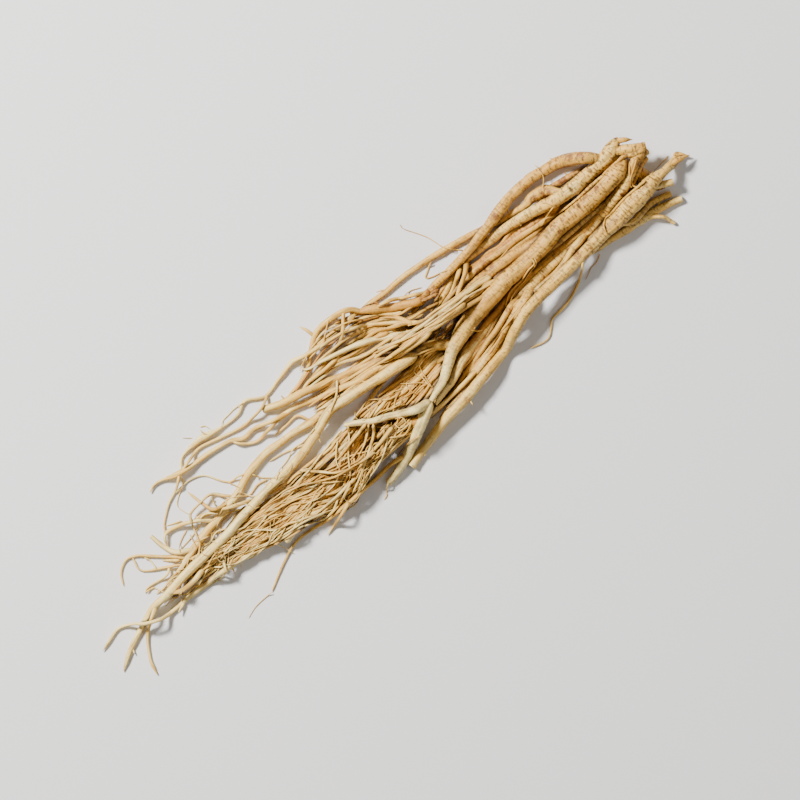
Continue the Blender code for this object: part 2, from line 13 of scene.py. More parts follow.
import bpy
import numpy as np
from mathutils import Euler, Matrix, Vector

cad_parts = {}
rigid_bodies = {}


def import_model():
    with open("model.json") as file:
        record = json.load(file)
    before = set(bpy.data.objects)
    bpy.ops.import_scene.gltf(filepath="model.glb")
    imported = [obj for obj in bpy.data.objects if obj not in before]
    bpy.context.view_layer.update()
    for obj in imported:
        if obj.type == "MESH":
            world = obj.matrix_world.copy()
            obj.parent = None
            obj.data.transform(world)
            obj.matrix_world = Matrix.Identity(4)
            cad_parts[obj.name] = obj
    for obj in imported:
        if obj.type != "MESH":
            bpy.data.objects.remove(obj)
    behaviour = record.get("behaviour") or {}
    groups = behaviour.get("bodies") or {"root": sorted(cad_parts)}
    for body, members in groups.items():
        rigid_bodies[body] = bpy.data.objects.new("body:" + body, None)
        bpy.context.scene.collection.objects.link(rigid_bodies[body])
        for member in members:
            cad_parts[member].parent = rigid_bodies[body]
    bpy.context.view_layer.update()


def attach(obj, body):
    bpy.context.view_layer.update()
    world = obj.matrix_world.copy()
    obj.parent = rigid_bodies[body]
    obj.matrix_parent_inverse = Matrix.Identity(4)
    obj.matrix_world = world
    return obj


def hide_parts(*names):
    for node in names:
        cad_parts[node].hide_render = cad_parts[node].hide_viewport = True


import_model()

NODE = "astragalus_root"

# The plan that the routes are drawn on, as in the solid. Its x runs right and its y runs down.
PLAN_UNIT = 0.0008
PLAN_SIDE = 800
PLAN_CENTRE = (375.6, 382.9)
CROWN_BEARING = 40.5
CROWN_SPOT = (634.0, 172.0)
CREAM_HEAD_SPOT = (410.0, 358.0)

# How the roots lie on each other, in metres, as in the solid.
CLEARANCE = 0.0006
WORN_FLAT = 0.0004
WORN_LEAST_WIDTH = 0.0056
LEAST_WIDTH = 0.0013

# How the roots are grown together, as shares of a root's radius, and in plan units.
PRESSED_SHARE = 0.4
CROWN_REACH = 30.0
CREAM_HEAD_REACH = 12.0
PRESS_FADE = 16.0

# How finely a route is followed and how stiff a root is, in plan units.
SAMPLE_STEP = 2.0
CURVE_STEPS = 12
STIFF_REACH = 5.0
STIFF_PER_WIDTH = 0.9
LIMP_SHARE = 0.35
SPRINGY_SHARE = 0.9
LEAST_BALL = 0.75
BED_SIDES = (0.05, 0.95)
GRAFT_REACH = 10.0
GRAFT_PER_WIDTH = 1.5


class Route(NamedTuple):
    """A root's name, the root that it grows from, its points, and the root that its tip meets."""

    name: str
    parent: str
    points: tuple
    meets: str = ""


class Look(NamedTuple):
    """How a root differs from the rest: paler or more orange, with a cut end or start, a paler tip."""

    pale: float = 0.0
    warm: float = 0.0
    cut: bool = False
    cut_start: bool = False
    pale_tip: float = 0.0


class Bed(NamedTuple):
    """Many roots that run along a part of the plan, from one of its two sides towards the other."""

    name: str
    seed: int
    count: int
    sides: tuple
    widths: tuple
    lengths: tuple
    drift: float
    wander: float
    look: Look = Look()
    points: int = 6
    taper: float = 0.4
    overhang: float = 0.0


class Grade(NamedTuple):
    """How finely a piece's roots are grown: their sides, ring spacing in metres, and relief shares."""

    sides: int
    spacing: float
    wrinkle: float
    lump: float
    knot: float
    pit: float
    ridge: float
    bark: str


class Strand(NamedTuple):
    """One root as it lies: its places on the plan, the heights of its middle, its widths, its look."""

    name: str
    places: np.ndarray
    heights: np.ndarray
    widths: np.ndarray
    look: Look


# The crown, and the roots that lie lowest.
LOW_ROUTES = (
    Route("crown_collar", "", (
        (665, 187, 10.5), (651, 182, 15), (636, 173, 16), (622, 163, 15), (611, 152, 11.5), (606, 146, 8))),
    Route("stub_behind_crown", "", ((645, 159, 8), (640, 166), (636, 175), (626, 195, 6), (616, 207, 4.5))),
    Route("under_upper", "", ((606, 153, 8), (586, 167), (566, 179), (547, 190, 7), (536, 196, 4.5))),
    Route("orange_wide", "upper_main", (
        (564, 203, 10), (553, 210.5, 12), (530.5, 227, 12), (513.5, 239.5, 11), (497, 253.5, 11.5),
        (484, 262.5, 11.5), (468, 277, 10), (458, 296, 6))),
    Route("orange_narrow", "front_main", (
        (572, 214, 9), (560, 224, 10.5), (530, 245, 11), (502, 263), (480, 280, 10), (462, 294, 8),
        (454, 304, 4.5))),
    Route("middle_main", "", (
        (645, 150, 10.5), (638, 157, 11.5), (632, 168), (627, 178, 12), (621, 190), (612, 202, 12),
        (603, 213, 11.5), (595, 223.5, 11), (587, 233, 10.5), (577, 243), (566, 253, 11), (553, 264.5, 11.5),
        (545, 272), (534.5, 282, 11), (524, 291, 10.5), (514, 300, 10), (506, 308, 8))),
    Route("shaded_inner", "front_main", (
        (596, 206.5, 8), (586, 216.5, 8), (575, 226.5), (566, 238, 8), (556, 248, 9), (545, 258, 9),
        (534, 268), (524, 277), (514, 286, 7))),
    Route("pale_inner", "middle_main", (
        (590, 231, 6), (583, 239, 7), (575, 247.5, 7.5), (569, 257, 7), (562, 266.5, 6.5), (555, 274),
        (547, 281), (539, 288.5, 6), (522, 305, 6), (508, 319, 4.5))),
    Route("inner_long", "middle_main", (
        (536, 286, 8), (526, 300, 10), (510, 321), (494, 345), (480, 368, 10), (468, 388), (456, 402, 8),
        (440, 418, 6))),
    Route("stub_long", "right_main", (
        (582, 256, 5), (598, 247.5, 7), (612, 237.5, 8.5), (628, 227, 10.5), (640, 220, 10.5),
        (650, 214.5, 9.5), (660, 209, 8), (672, 203, 7.5), (682, 199, 7))),
    Route("stub_low", "stub_long", (
        (645, 219, 6), (656, 217.5, 4.5), (664, 218), (669.5, 221), (674, 224, 3.8))),
    Route("stub_middle", "right_main", (
        (620, 229, 6), (629, 226), (637, 217, 6.5), (646, 207), (656, 200), (671, 194, 6.5))),
    Route("stub_high", "right_main", ((645, 197, 7), (651, 192), (658, 186), (672, 182, 6.5))),
    Route("right_main", "", (
        (679, 156, 8.5), (671, 165, 8.5), (663, 172.5, 9), (656.5, 178.5, 11.5), (649, 186, 16),
        (632, 204.5, 17.5), (616, 220.5, 15), (604.5, 232.5, 12.5), (594.5, 243, 12.5), (581, 256, 11.5),
        (570, 267.5, 11.5), (547, 290, 11), (527, 311, 10), (514, 332, 9.5), (504.5, 350, 9), (494, 364, 9),
        (478, 383, 10), (462, 403), (445, 420, 10), (428, 442, 9), (411, 466, 9))),
    Route("hanging_rootlet", "right_main", (
        (588, 256, 4.2), (583, 266, 3.4), (578, 284), (566, 305), (553, 318, 2.6), (551, 328), (547, 339),
        (530, 348, 1.9))),
)

# The upper side, and the woven strands of the far left.
UPPER_ROUTES = (
    Route("knotty_upper", "upper_main", (
        (566, 189, 9), (557, 191, 9), (545, 191.5, 12), (533, 198, 11), (525, 206.5, 8), (511, 215, 7.5),
        (498, 222.5, 7.5), (478, 232, 7), (447, 248.5, 7), (410, 271.5), (385, 293), (362, 309, 5))),
    Route("upper_main", "", (
        (616.5, 138, 7), (614, 144, 12), (611, 150.5, 17.5), (605.5, 158, 17.5), (595, 168, 15.5),
        (584, 178.5, 13.5), (574, 187.5, 14), (563, 196, 13), (552, 203, 12), (540, 208.5, 11),
        (522, 218, 10.5), (507, 227, 10), (493, 237, 10), (478, 249, 9.5), (464, 260, 8.5), (457, 271, 8),
        (447, 291, 7.5), (433, 315, 6))),
    Route("upper_stub", "upper_main", ((612, 153, 10), (622, 151, 10), (634, 149, 9.5), (645, 146.5, 9))),
    Route("upper_spur", "upper_main", ((615, 143, 7), (620, 140.5, 6), (626, 140, 5), (632, 140, 2.2))),
    Route("arching_upper", "upper_main", (
        (600, 158, 11), (588, 157.5, 11.5), (577, 158.5, 12), (566, 160.5, 12), (556, 164, 11.5),
        (543, 171.5, 11), (530, 179, 11), (511, 196.5, 10), (501.5, 209.5, 10.5), (489, 227, 10),
        (476.5, 242, 9.5), (464, 256.5, 8.5), (441, 280, 8), (422, 299, 7), (411, 318, 6), (404, 329, 4.5))),
    Route("upper_sliver", "upper_main", ((462, 262, 5), (456, 280), (446, 306, 4), (436, 326, 4))),
    Route("upper_side", "upper_main", ((466, 258, 6), (464, 275, 5), (455, 302, 4.5))),
    Route("left_broad", "arching_upper", (
        (432, 290, 8), (420, 300, 10), (400, 306), (370, 310), (350, 313, 9))),
    Route("left_over", "arching_upper", ((427, 291, 4.5), (405, 297), (390, 300), (377, 306, 4.5))),
    Route("left_fall", "left_broad", (
        (362, 309, 6.5), (350, 309), (332, 318), (316, 333, 6), (310, 355), (308, 368, 5), (300, 383, 4.5),
        (286, 401, 3.8)), "straw_long"),
    Route("left_far", "left_broad", (
        (356, 313, 6), (345, 325), (325, 342), (305, 356, 5), (292, 363, 6), (278, 380, 3.8),
        (265, 396, 3.5), (245, 401, 4.5), (238, 414, 3.2), (222, 427, 3.2), (206, 436, 7), (197, 442, 6),
        (183, 456, 2.6), (180, 472, 2.8)), "fringe_long"),
    Route("left_weave", "cross_upper", (
        (412, 322, 6), (395, 318), (375, 322), (355, 332), (338, 345), (326, 362, 5), (317, 373, 6),
        (303, 393, 3.8)), "straw_long"),
    Route("left_inner", "cross_upper", (
        (418, 319, 5), (398, 325), (372, 332, 5.5), (350, 345), (332, 362), (312, 379, 4.5),
        (298, 390, 4)), "straw_long"),
    Route("white_weave", "cross_lower", (
        (418, 332, 6), (395, 335), (365, 342, 6.5), (345, 350), (325, 360, 4.5), (308, 369, 3.2),
        (301, 368, 3.2))),
    Route("weave_cross", "left_fall", ((345, 312, 4.5), (343, 335), (335, 352, 4.5)), "left_weave"),
    Route("weave_stub", "left_fall", ((315, 336, 3.8), (308, 331), (300, 327, 3.2))),
)

# Strands that cross the middle, and the long ones that lead to the lower left.
MIDDLE_ROUTES = (
    Route("cross_upper", "front_main", ((507, 276, 5), (480, 287), (450, 306), (430, 318), (408, 326, 4.5))),
    Route("cross_lower", "front_main", (
        (490, 296, 7), (460, 306), (435, 320), (415, 332), (400, 338, 6.5), (387, 346, 4.5))),
    Route("straw_long", "cross_lower", (
        (447, 316, 8), (430, 328), (400, 348), (370, 364), (340, 377), (306, 391), (283, 403),
        (263, 410, 7.5))),
    Route("wide_middle", "front_main", (
        (453, 342, 10.5), (430, 347, 11.5), (400, 360), (375, 373), (350, 392, 9), (334, 406, 8), (306, 425),
        (283, 440, 7.5), (262, 457), (248, 474), (238, 492, 8), (224, 512), (208, 530), (193, 549, 7),
        (181, 569), (165, 596, 6)), "cream_long"),
    Route("straw_sister", "cross_lower", (
        (437, 321, 5), (424, 337, 6), (398, 355), (372, 372, 6.5), (357, 382), (335, 391), (315, 400, 7),
        (295, 409), (276, 421, 6))),
    Route("fringe_long", "straw_sister", (
        (290, 411, 4.5), (274, 420, 5), (255, 429), (244, 438, 5), (230, 441, 4.5), (210, 453), (190, 467),
        (176, 475, 6), (162, 480, 3.5), (154, 485, 3.2), (150, 492, 4.5))),
    Route("fringe_loop", "straw_sister", (
        (279, 419, 4.5), (268, 431), (258, 441), (243, 444), (230, 441, 3.2)), "fringe_long"),
    Route("fringe_upper", "left_far", (
        (266, 395, 3.2), (264, 402, 3.5), (259, 411), (243, 426), (221, 437), (200, 448), (190, 460),
        (181, 471, 3.8)), "fringe_long"),
    Route("fringe_drop", "fringe_long", (
        (179, 473, 3.8), (177, 487, 3.2), (169, 502, 2.6), (165, 518, 2.2), (162, 536, 2.2)), "tail_curl"),
    Route("fringe_bridge", "wide_middle", (
        (250, 472, 2.2), (238, 476), (228, 481), (206, 475), (190, 480), (174, 494, 2.2)), "fringe_drop"),
    Route("fringe_spike", "wide_middle", ((312, 420, 3.2), (298, 415, 3.2), (287, 425), (275, 436, 2.6))),
    Route("fringe_spur", "cream_long", ((310, 442, 2.2), (296, 447), (284, 452), (269, 461, 1.9))),
)

# The matted strands of the lower half.
MAT_ROUTES = (
    Route("mat_centre", "front_main", (
        (448, 352, 6), (430, 368), (400, 402), (370, 437), (340, 472), (303, 502), (265, 528), (225, 552),
        (190, 575, 4.5), (174, 590, 4.5)), "cream_long"),
    Route("mat_right", "pale_beside_front", (
        (458, 372, 6), (432, 402), (403, 433), (375, 463), (350, 492), (318, 510), (283, 525), (252, 545),
        (228, 567, 4.5))),
    Route("mat_left", "wide_middle", (
        (428, 350, 6), (395, 390), (365, 420), (335, 452), (300, 478), (265, 503), (232, 530), (203, 553),
        (188, 563, 4.5)), "wide_middle"),
    Route("mat_far_left", "wide_middle", (
        (398, 362, 4.5), (368, 402), (345, 432), (312, 462), (278, 488), (243, 503), (207, 514),
        (192, 521, 4.5))),
    Route("flat_strip", "front_fork_down", ((420, 415, 6), (413, 421, 9), (403, 431, 9.5), (389, 449, 9))),
    Route("mat_edge", "flat_strip", (
        (397, 440, 6), (378, 462), (360, 485), (345, 505), (318, 514), (290, 528), (262, 548, 7),
        (238, 560, 7), (228, 571, 4.5))),
    Route("mat_stub", "mat_edge", ((301, 523, 6), (295, 530, 7), (288, 541, 6))),
)

# The roots on top, and the tails.
TOP_ROUTES = (
    Route("pale_beside_front", "middle_main", (
        (503, 297, 5), (497, 309, 6.5), (493, 318, 8.5), (485, 328, 9.5), (477, 338, 10), (470, 348, 10),
        (462.5, 359, 9.5), (457, 370, 9), (449, 384, 8.5), (441, 395, 8), (434, 403, 7))),
    Route("pale_second", "middle_main", (
        (520, 294, 6), (509, 309, 6), (496, 330, 5.5), (482, 350, 5.5), (470, 368, 5.5), (459, 385),
        (446, 402), (432, 418, 5))),
    Route("pale_crossing", "inner_long", (
        (481, 366, 5), (460, 388), (440, 407), (425, 420, 4.5), (413, 433, 3.8))),
    Route("front_main", "", (
        (625, 159, 7), (621.5, 165, 12), (616.5, 173, 17), (605.5, 184.5, 17), (596, 194, 17.5),
        (585, 205, 17), (570.5, 217, 16.5), (556.5, 229, 16.5), (544.5, 244, 16), (533, 256, 16),
        (511.5, 276, 17), (496.5, 291.5, 16), (484, 304, 17), (468.5, 322, 16), (457.5, 340, 14),
        (451.3, 352, 12), (447, 366, 10.5), (442, 381, 10.5), (431, 401, 14))),
    Route("front_fork_down", "front_main", (
        (431, 401, 11.5), (421, 425, 10.5), (409, 452, 10), (395, 475, 8), (388, 483, 7))),
    Route("front_fork_white", "front_main", (
        (431, 401, 10.5), (420, 408, 9), (402, 414), (363, 422, 7), (345, 425, 5))),
    Route("cream_long", "", (
        (417, 355, 10.5), (400, 366, 10.5), (370, 384), (344, 400, 10), (331, 410), (315, 435, 8.5),
        (302, 455), (283, 475), (252, 508, 9), (222, 540), (192, 568, 9), (172, 590, 8.5), (152, 611, 7),
        (140, 632, 5.5), (131, 650, 5), (124, 671, 4.5))),
    Route("tail_right", "cream_long", (
        (158, 605, 4.5), (151, 622, 4), (148, 640, 3.7), (150, 658, 3.5), (157, 674, 4))),
    Route("tail_low", "mat_edge", (
        (238, 560, 6), (215, 577, 5), (188, 598), (166, 616), (147, 623, 4.5), (133, 624, 3.7), (118, 629),
        (109, 642, 3.7), (103, 651, 2.6))),
    Route("tail_spur", "tail_low", ((184, 602, 4.5), (178, 612, 4.5))),
    Route("tail_middle", "mat_centre", (
        (208, 563, 6), (195, 580), (182, 590), (170, 596, 4.5)), "cream_long"),
    Route("tail_blunt", "wide_middle", ((193, 549, 6), (176, 552), (164, 546), (151, 536, 4.5))),
    Route("tail_hook", "wide_middle", (
        (187, 557, 4.5), (160, 557), (136, 556, 3.2), (125, 561, 2.6), (121, 573, 2.2), (123, 586, 1.9))),
    Route("tail_ring", "wide_middle", (
        (183, 565, 3.7), (163, 568, 3.2), (150, 571, 2.4), (139, 570), (131, 558, 2.2)), "tail_hook"),
    Route("tail_thorn", "tail_ring", ((169, 566, 3.2), (166, 576), (149, 587, 2.6), (145, 593, 2.2))),
    Route("tail_curl", "wide_middle", (
        (213, 518, 4.5), (195, 521), (180, 525, 4.5), (165, 534, 3.8), (167, 549, 3.2)), "tail_blunt"),
    Route("tail_horn", "wide_middle", ((230, 504, 4.5), (214, 510, 4.5), (203, 504), (188, 492, 2.8))),
    Route("tail_bow", "wide_middle", (
        (236, 498, 3.2), (213, 494, 3.7), (200, 503, 3.2), (190, 514), (192, 521, 3.2)), "tail_curl"),
    Route("thin_right", "front_fork_down", (
        (408, 453, 6), (390, 465, 5), (362, 491), (335, 514, 4.5), (300, 538, 3.2), (284, 562, 2.4),
        (272, 592, 1.9))),
    Route("thin_right_spur", "thin_right", ((349, 503, 4.5), (337, 521, 3.8), (327, 535, 1.9))),
)

# The left and right sides of the parts that beds of roots fill, from the crown towards the tails.
MAT_RIGHT_SIDE = (
    (444, 398), (410, 436), (382, 460), (352, 500), (312, 518), (276, 540), (240, 557), (196, 588))
MAT_SIDES = (
    ((404, 372), (372, 398), (345, 425), (315, 456), (285, 485), (255, 512), (225, 540), (190, 572)),
    MAT_RIGHT_SIDE)
CROWN_SIDES = (
    ((600, 158), (560, 196), (520, 220), (482, 244), (446, 274), (418, 312), (404, 345)),
    ((650, 184), (612, 222), (572, 264), (532, 302), (508, 340), (480, 380), (440, 416)))
CROSS_SIDES = (
    ((512, 262), (480, 276), (446, 298), (412, 320), (384, 340)),
    ((500, 290), (472, 308), (446, 330), (418, 348), (390, 366)))
SEAM_SIDES = (
    ((512, 290), (486, 322), (462, 356), (446, 384), (426, 410)),
    ((536, 292), (512, 324), (496, 352), (474, 380), (444, 412)))
HEAD_SIDES = (
    ((462, 326), (440, 340), (420, 356), (396, 380), (372, 402)),
    ((480, 346), (464, 368), (450, 390), (428, 414), (404, 440)))
WEAVE_SIDES = (
    ((440, 284), (400, 308), (362, 312), (330, 326), (308, 352), (294, 388)),
    ((456, 316), (424, 330), (394, 348), (360, 366), (328, 384), (298, 402)))
BUNDLE_SIDES = (
    ((444, 318), (416, 334), (386, 348), (360, 362), (332, 380), (304, 397)),
    ((444, 348), (416, 358), (386, 374), (362, 392), (338, 408), (312, 426)))
TAIL_SIDES = (
    ((262, 470), (232, 494), (206, 518), (184, 546), (164, 566), (148, 590)),
    ((300, 528), (268, 548), (238, 566), (208, 586), (180, 604), (158, 622)))

# The mat's finer fibres keep clear of the long pale root on its left.
FINE_SIDES = (
    ((404, 372), (382, 396), (360, 420), (334, 453), (306, 481), (270, 507), (230, 539), (190, 572)),
    MAT_RIGHT_SIDE)

# The fibres that the solid has too, the beds under the thick roots, and those laid on the mat.
MAT_FIBRES = Bed("fibre", 7, 34, MAT_SIDES, (2.2, 4.4), (0.16, 0.34), 0.3, 0.03)
LOW_BEDS = (
    Bed("crown_bed", 21, 22, CROWN_SIDES, (6.0, 10.0), (0.4, 0.75), 0.12, 0.02, Look(-0.1, 0.3)),
    Bed("inner_bed", 22, 34, CROWN_SIDES, (3.0, 6.5), (0.25, 0.5), 0.2, 0.03, Look(0.0, 0.25)),
    Bed("weave_bed", 23, 12, WEAVE_SIDES, (3.4, 6.4), (0.3, 0.7), 0.3, 0.03, Look(-0.05, 0.25)),
    Bed("bundle_bed", 34, 15, BUNDLE_SIDES, (3.6, 6.8), (0.45, 0.95), 0.15, 0.02, Look(-0.05, 0.15)),
    Bed("mat_bed", 24, 74, FINE_SIDES, (2.8, 5.4), (0.25, 0.5), 0.2, 0.03, Look(-0.1, 0.2)),
    Bed("head_bed", 31, 40, HEAD_SIDES, (3.0, 6.0), (0.5, 1.0), 0.3, 0.03, Look(-0.1, 0.2)),
)
SPRINGY_BEDS = (
    Bed("cross_top", 28, 13, CROSS_SIDES, (2.6, 6.4), (0.5, 0.95), 0.25, 0.02, Look(0.1, 0.1)),
    Bed("seam_top", 29, 14, SEAM_SIDES, (2.6, 5.4), (0.45, 0.9), 0.25, 0.02, Look(0.0, 0.15)),
    Bed("weave_top", 30, 5, WEAVE_SIDES, (2.4, 4.6), (0.5, 0.9), 0.4, 0.03, Look(0.05, 0.1)),
    Bed("bundle_top", 35, 8, BUNDLE_SIDES, (2.6, 5.4), (0.5, 0.95), 0.25, 0.02, Look(0.05, 0.1)),
    Bed("head_top", 32, 34, HEAD_SIDES, (1.6, 3.6), (0.4, 1.0), 0.3, 0.05, Look(-0.15, 0.25), 6, 0.4, 0.1),
    Bed(
        "mat_long", 25, 66, FINE_SIDES, (2.4, 6.2), (0.3, 0.8), 0.5, 0.08, Look(-0.15, 0.2), 7, 0.5, 0.06),
)
LIMP_BEDS = (
    Bed("mat_fine", 33, 44, FINE_SIDES, (1.4, 3.0), (0.2, 0.5), 0.7, 0.1, Look(-0.1, 0.15), 6, 0.4, 0.12),
    Bed("mat_crossing", 26, 18, FINE_SIDES, (1.6, 3.0), (0.12, 0.3), 0.9, 0.05, Look(0.0, 0.1)),
    Bed("tail_fine", 27, 34, TAIL_SIDES, (1.2, 2.6), (0.15, 0.45), 0.3, 0.05, Look(0.0, 0.05)),
)

# Rootlets drawn one by one: a width, and points from where each grows to its tip.
ROOTLETS = (
    (2.6, ((629, 165), (629, 175), (631, 183), (634, 187), (640, 186), (645, 181))),
    (2.4, ((636, 160), (633, 170), (630, 180), (630, 188))),
    (3.4, ((645, 181), (636, 188), (628, 195), (620, 203), (610, 215), (606, 218), (603, 226), (606, 234))),
    (2.5, ((531, 259), (534, 264), (528, 270), (522, 279), (515, 286), (510, 292), (507, 300), (506, 307))),
    (2.0, ((534, 258), (536, 264), (531, 271), (524, 281), (517, 288), (512, 295), (509, 302))),
    (2.2, ((482, 330), (477, 331), (471, 330))),
    (2.0, ((553, 207), (547, 215), (541, 226))),
    (1.6, ((508, 248), (504, 253), (500, 258))),
    (2.0, ((542, 188), (543, 182), (542, 176), (538, 171), (534, 165))),
    (1.5, ((463, 250), (445, 248), (426, 237), (404, 229), (400, 224))),
    (2.0, ((431, 262), (428, 268), (425, 278), (432, 277), (440, 273), (447, 270))),
    (1.4, ((404, 296), (410, 291), (418, 289), (422, 288))),
    (1.8, ((417, 364), (413, 370), (415, 375), (422, 378), (428, 384), (433, 387))),
    (1.6, ((418, 364), (421, 372), (426, 379), (431, 386))),
    (1.4, ((400, 384), (410, 384), (425, 384), (433, 388))),
    (2.0, ((328, 320), (326, 330), (323, 343))),
    (3.0, ((337, 380), (337, 395), (334, 405), (331, 412))),
    (2.6, ((348, 425), (349, 437), (348.5, 450), (349.5, 462), (351, 476))),
    (2.2, ((338, 441), (336, 452), (336, 462), (340, 470))),
    (4.0, ((300, 471), (320, 472), (335, 473), (345, 470))),
    (2.4, ((310, 483), (330, 482), (345, 481))),
    (1.6, ((420, 436), (412, 440), (404, 447), (398, 455), (396, 460))),
    (2.0, ((315, 428), (307, 438), (300, 444), (293, 449), (287, 460), (280, 470), (276, 480))),
    (3.0, ((338, 500), (333, 510), (325, 518), (318, 521), (302, 526))),
    (4.0, ((224, 560), (226, 567), (228, 573))),
    (1.6, ((389, 482), (387, 489), (387, 496), (384, 500))),
    (1.6, ((243, 402), (235, 408), (228, 415), (223, 420), (221, 427))),
    (1.6, ((200, 427), (205, 426), (210, 429))),
    (1.5, ((200, 430), (203, 434), (207, 434))),
    (1.4, ((228, 481), (236, 485), (240, 487))),
    (2.5, ((253, 473), (260, 476), (268, 477), (276, 477))),
    (1.5, ((181, 475), (183, 484), (181, 490), (178, 497), (177, 504), (179, 508), (185, 512), (189, 514))),
    (2.2, ((211, 497), (213, 503), (216, 508))),
    (3.0, ((200, 518), (205, 514), (212, 513), (219, 514))),
    (3.0, ((190, 513), (191, 520), (193, 526), (196, 535), (200, 543))),
    (1.6, ((187, 530), (183, 537), (180, 545), (180, 552))),
    (1.6, ((197, 547), (193, 540), (190, 534))),
    (2.0, ((182, 521), (175, 523), (166, 525))),
    (4.0, ((180, 560), (171, 560), (162, 560))),
    (2.0, ((144, 558), (150, 561), (154, 566), (157, 570))),
    (2.2, ((146, 592), (151, 589), (155, 588), (165, 593))),
    (1.8, ((172, 597), (177, 598), (181, 593), (187, 588))),
    (4.2, ((366, 423), (358, 433), (351, 442), (345, 451), (337, 460))),
    (2.8, ((369, 424), (367, 436), (363, 448), (359, 457))),
    (3.8, ((373, 424), (374, 436), (371, 447), (367, 458), (362, 472), (357, 484), (352, 494))),
    (5.0, ((393, 427), (383, 440), (375, 449), (366, 459), (358, 470))),
    (3.2, ((375, 452), (362, 461), (350, 468), (336, 476), (320, 481), (302, 485), (288, 492))),
    (4.4, ((356, 478), (345, 488), (336, 497), (327, 505), (316, 514))),
    (3.6, ((351, 482), (346, 494), (339, 506), (330, 516))),
    (3.0, ((341, 430), (331, 442), (321, 454), (312, 466), (300, 478))),
)
HAIRS = (
    (1.1, ((669, 156), (660, 166), (650, 176))),
    (1.1, ((600, 254), (597, 262), (591, 268), (589, 272), (585, 280))),
    (1.0, ((241, 558), (241, 564), (241, 569))),
    (1.1, ((275, 543), (285, 548), (295, 554))),
    (1.1, ((272, 592), (262, 600), (254, 608), (248, 618))),
    (1.1, ((192, 438), (187, 438), (182, 438))),
    (1.0, ((182, 590), (181, 597), (182, 602))),
    (1.0, ((552, 206), (545, 203), (541, 203))),
    (1.0, ((292, 462), (286, 472), (276, 478))),
)

# Short broad roots that grow the crown together and flare one top, sunk deep between the thick ones.
CROWN_WEB = (
    (10.0, ((645, 148), (636, 152), (627, 155), (619, 159))),
    (5.0, ((624, 156), (617, 162), (609, 169), (600, 177))),
    (11.0, ((643, 151), (637, 157), (632, 166), (628, 178), (622, 190))),
    (4.0, ((604, 176), (592, 186), (580, 197), (568, 207), (556, 216))),
    (6.5, ((673, 154.5), (677.5, 154), (683, 155), (688.5, 156))),
    (7.0, ((671, 165.5), (677, 161), (683, 157.5), (689, 155))),
)

# Roots whose look isn't what their place on the plan gives them.
LOOKS = {
    "orange_wide": Look(-0.15, 0.75),
    "orange_narrow": Look(-0.15, 0.65),
    "shaded_inner": Look(-0.1, 0.45),
    "under_upper": Look(-0.1, 0.5, True),
    "arching_upper": Look(-0.05, 0.25),
    "knotty_upper": Look(0.0, 0.15),
    "upper_main": Look(0.12, 0.0),
    "front_main": Look(0.12, 0.0, False, False, 1.0),
    "left_broad": Look(-0.1, 0.4),
    "front_fork_white": Look(1.0, -0.4, True),
    "front_fork_down": Look(0.8, -0.3, True),
    "white_weave": Look(0.9, -0.3),
    "pale_inner": Look(0.25, -0.05),
    "flat_strip": Look(-0.2, 0.5, True),
    "inner_long": Look(-0.1, 0.35),
    "middle_main": Look(0.1, 0.05, False, True),
    "hanging_rootlet": Look(0.3, -0.05),
    "right_main": Look(0.08, 0.0, True, True),
    "upper_stub": Look(0.1, 0.1, True),
    "stub_behind_crown": Look(0.0, 0.2, False, True),
    "stub_long": Look(0.35, 0.1, True),
    "stub_low": Look(0.4, 0.0, True),
    "stub_middle": Look(0.25, 0.1, True),
    "stub_high": Look(0.2, 0.1, True),
    "straw_long": Look(0.0, 0.05, True, False, 0.25),
    "straw_sister": Look(0.0, 0.05, True, False, 0.25),
    "tail_blunt": Look(0.1, 0.0, True),
    "mat_stub": Look(0.1, 0.0, True),
    "pale_beside_front": Look(0.1, 0.05, True, False, 0.5),
    "pale_crossing": Look(0.3, 0.0),
}

# Crusty scars that the photo shows on the bark: places and reaches on the plan.
SCARS = (
    (577, 255, 8), (553, 225, 5), (568, 157, 7), (580, 156, 5), (495, 217, 6), (433, 292, 10),
    (424, 299, 7), (488, 266, 9), (478, 272, 6), (596, 189, 4), (585, 196, 3.5), (562, 220, 3.5),
    (545, 194, 9), (534, 200, 7), (623, 194, 5), (562, 180, 7), (560, 232, 4), (640, 165, 5),
    (590, 250, 4), (508, 310, 4))

# How much paler a root grows from the crown to the tails, and where, in plan units from the crown.
PALE_FROM = 120.0
PALE_TO = 600.0
PALE_RANGE = (0.2, 0.7)
TIP_PALE_FROM = 0.7
CROWN_BARK_TO = 380.0
TINT_SEED = 41
TINT_SPREAD = (0.12, 0.12)
BED_TINT_SPREAD = (0.26, 0.22)

# Bends and swellings of a grown root, in plan units and as shares of its width.
BEND_WAVES = (46.0, 17.0)
BEND_SIZES = (0.4, 0.25)
SWELL_WAVES = (40.0, 11.0)
SWELL_SHARES = (0.045, 0.03)
TIP_RUN = 3.0
TIP_SHARE = 0.3
TIP_LEAST_EASE = 0.1
DOME_LEAST = 0.05
FULLNESS = 0.08
FULL_WIDTHS = (6.0, 12.0)
SLIMNESS = 0.16
SLIM_WIDTHS = (3.0, 6.0)
START_RUN = 0.8

# How the beds' roots, the rootlets and the crown's web lie, in plan units and as shares of a width.
BED_LIFT = 5.0
BED_WAVE_LENGTH = 40.0
BED_WAVE_SIZE = 0.5
LIMP_SINK = 0.8
SPRINGY_SINK = 1.5
ROOTLET_SINK = 0.15
ROOTLET_TIP = 0.6
WEB_SINK = 0.9
WEB_LOOK = Look(0.0, 0.15)
ROOTLET_LOOK = Look(0.08, 0.05)

# Crevices, where painted shade gathers: the reach and depth of each size, in plan units, and its share.
CREVICES = ((6, 6.0, 1.0), (2, 2.0, 0.9))
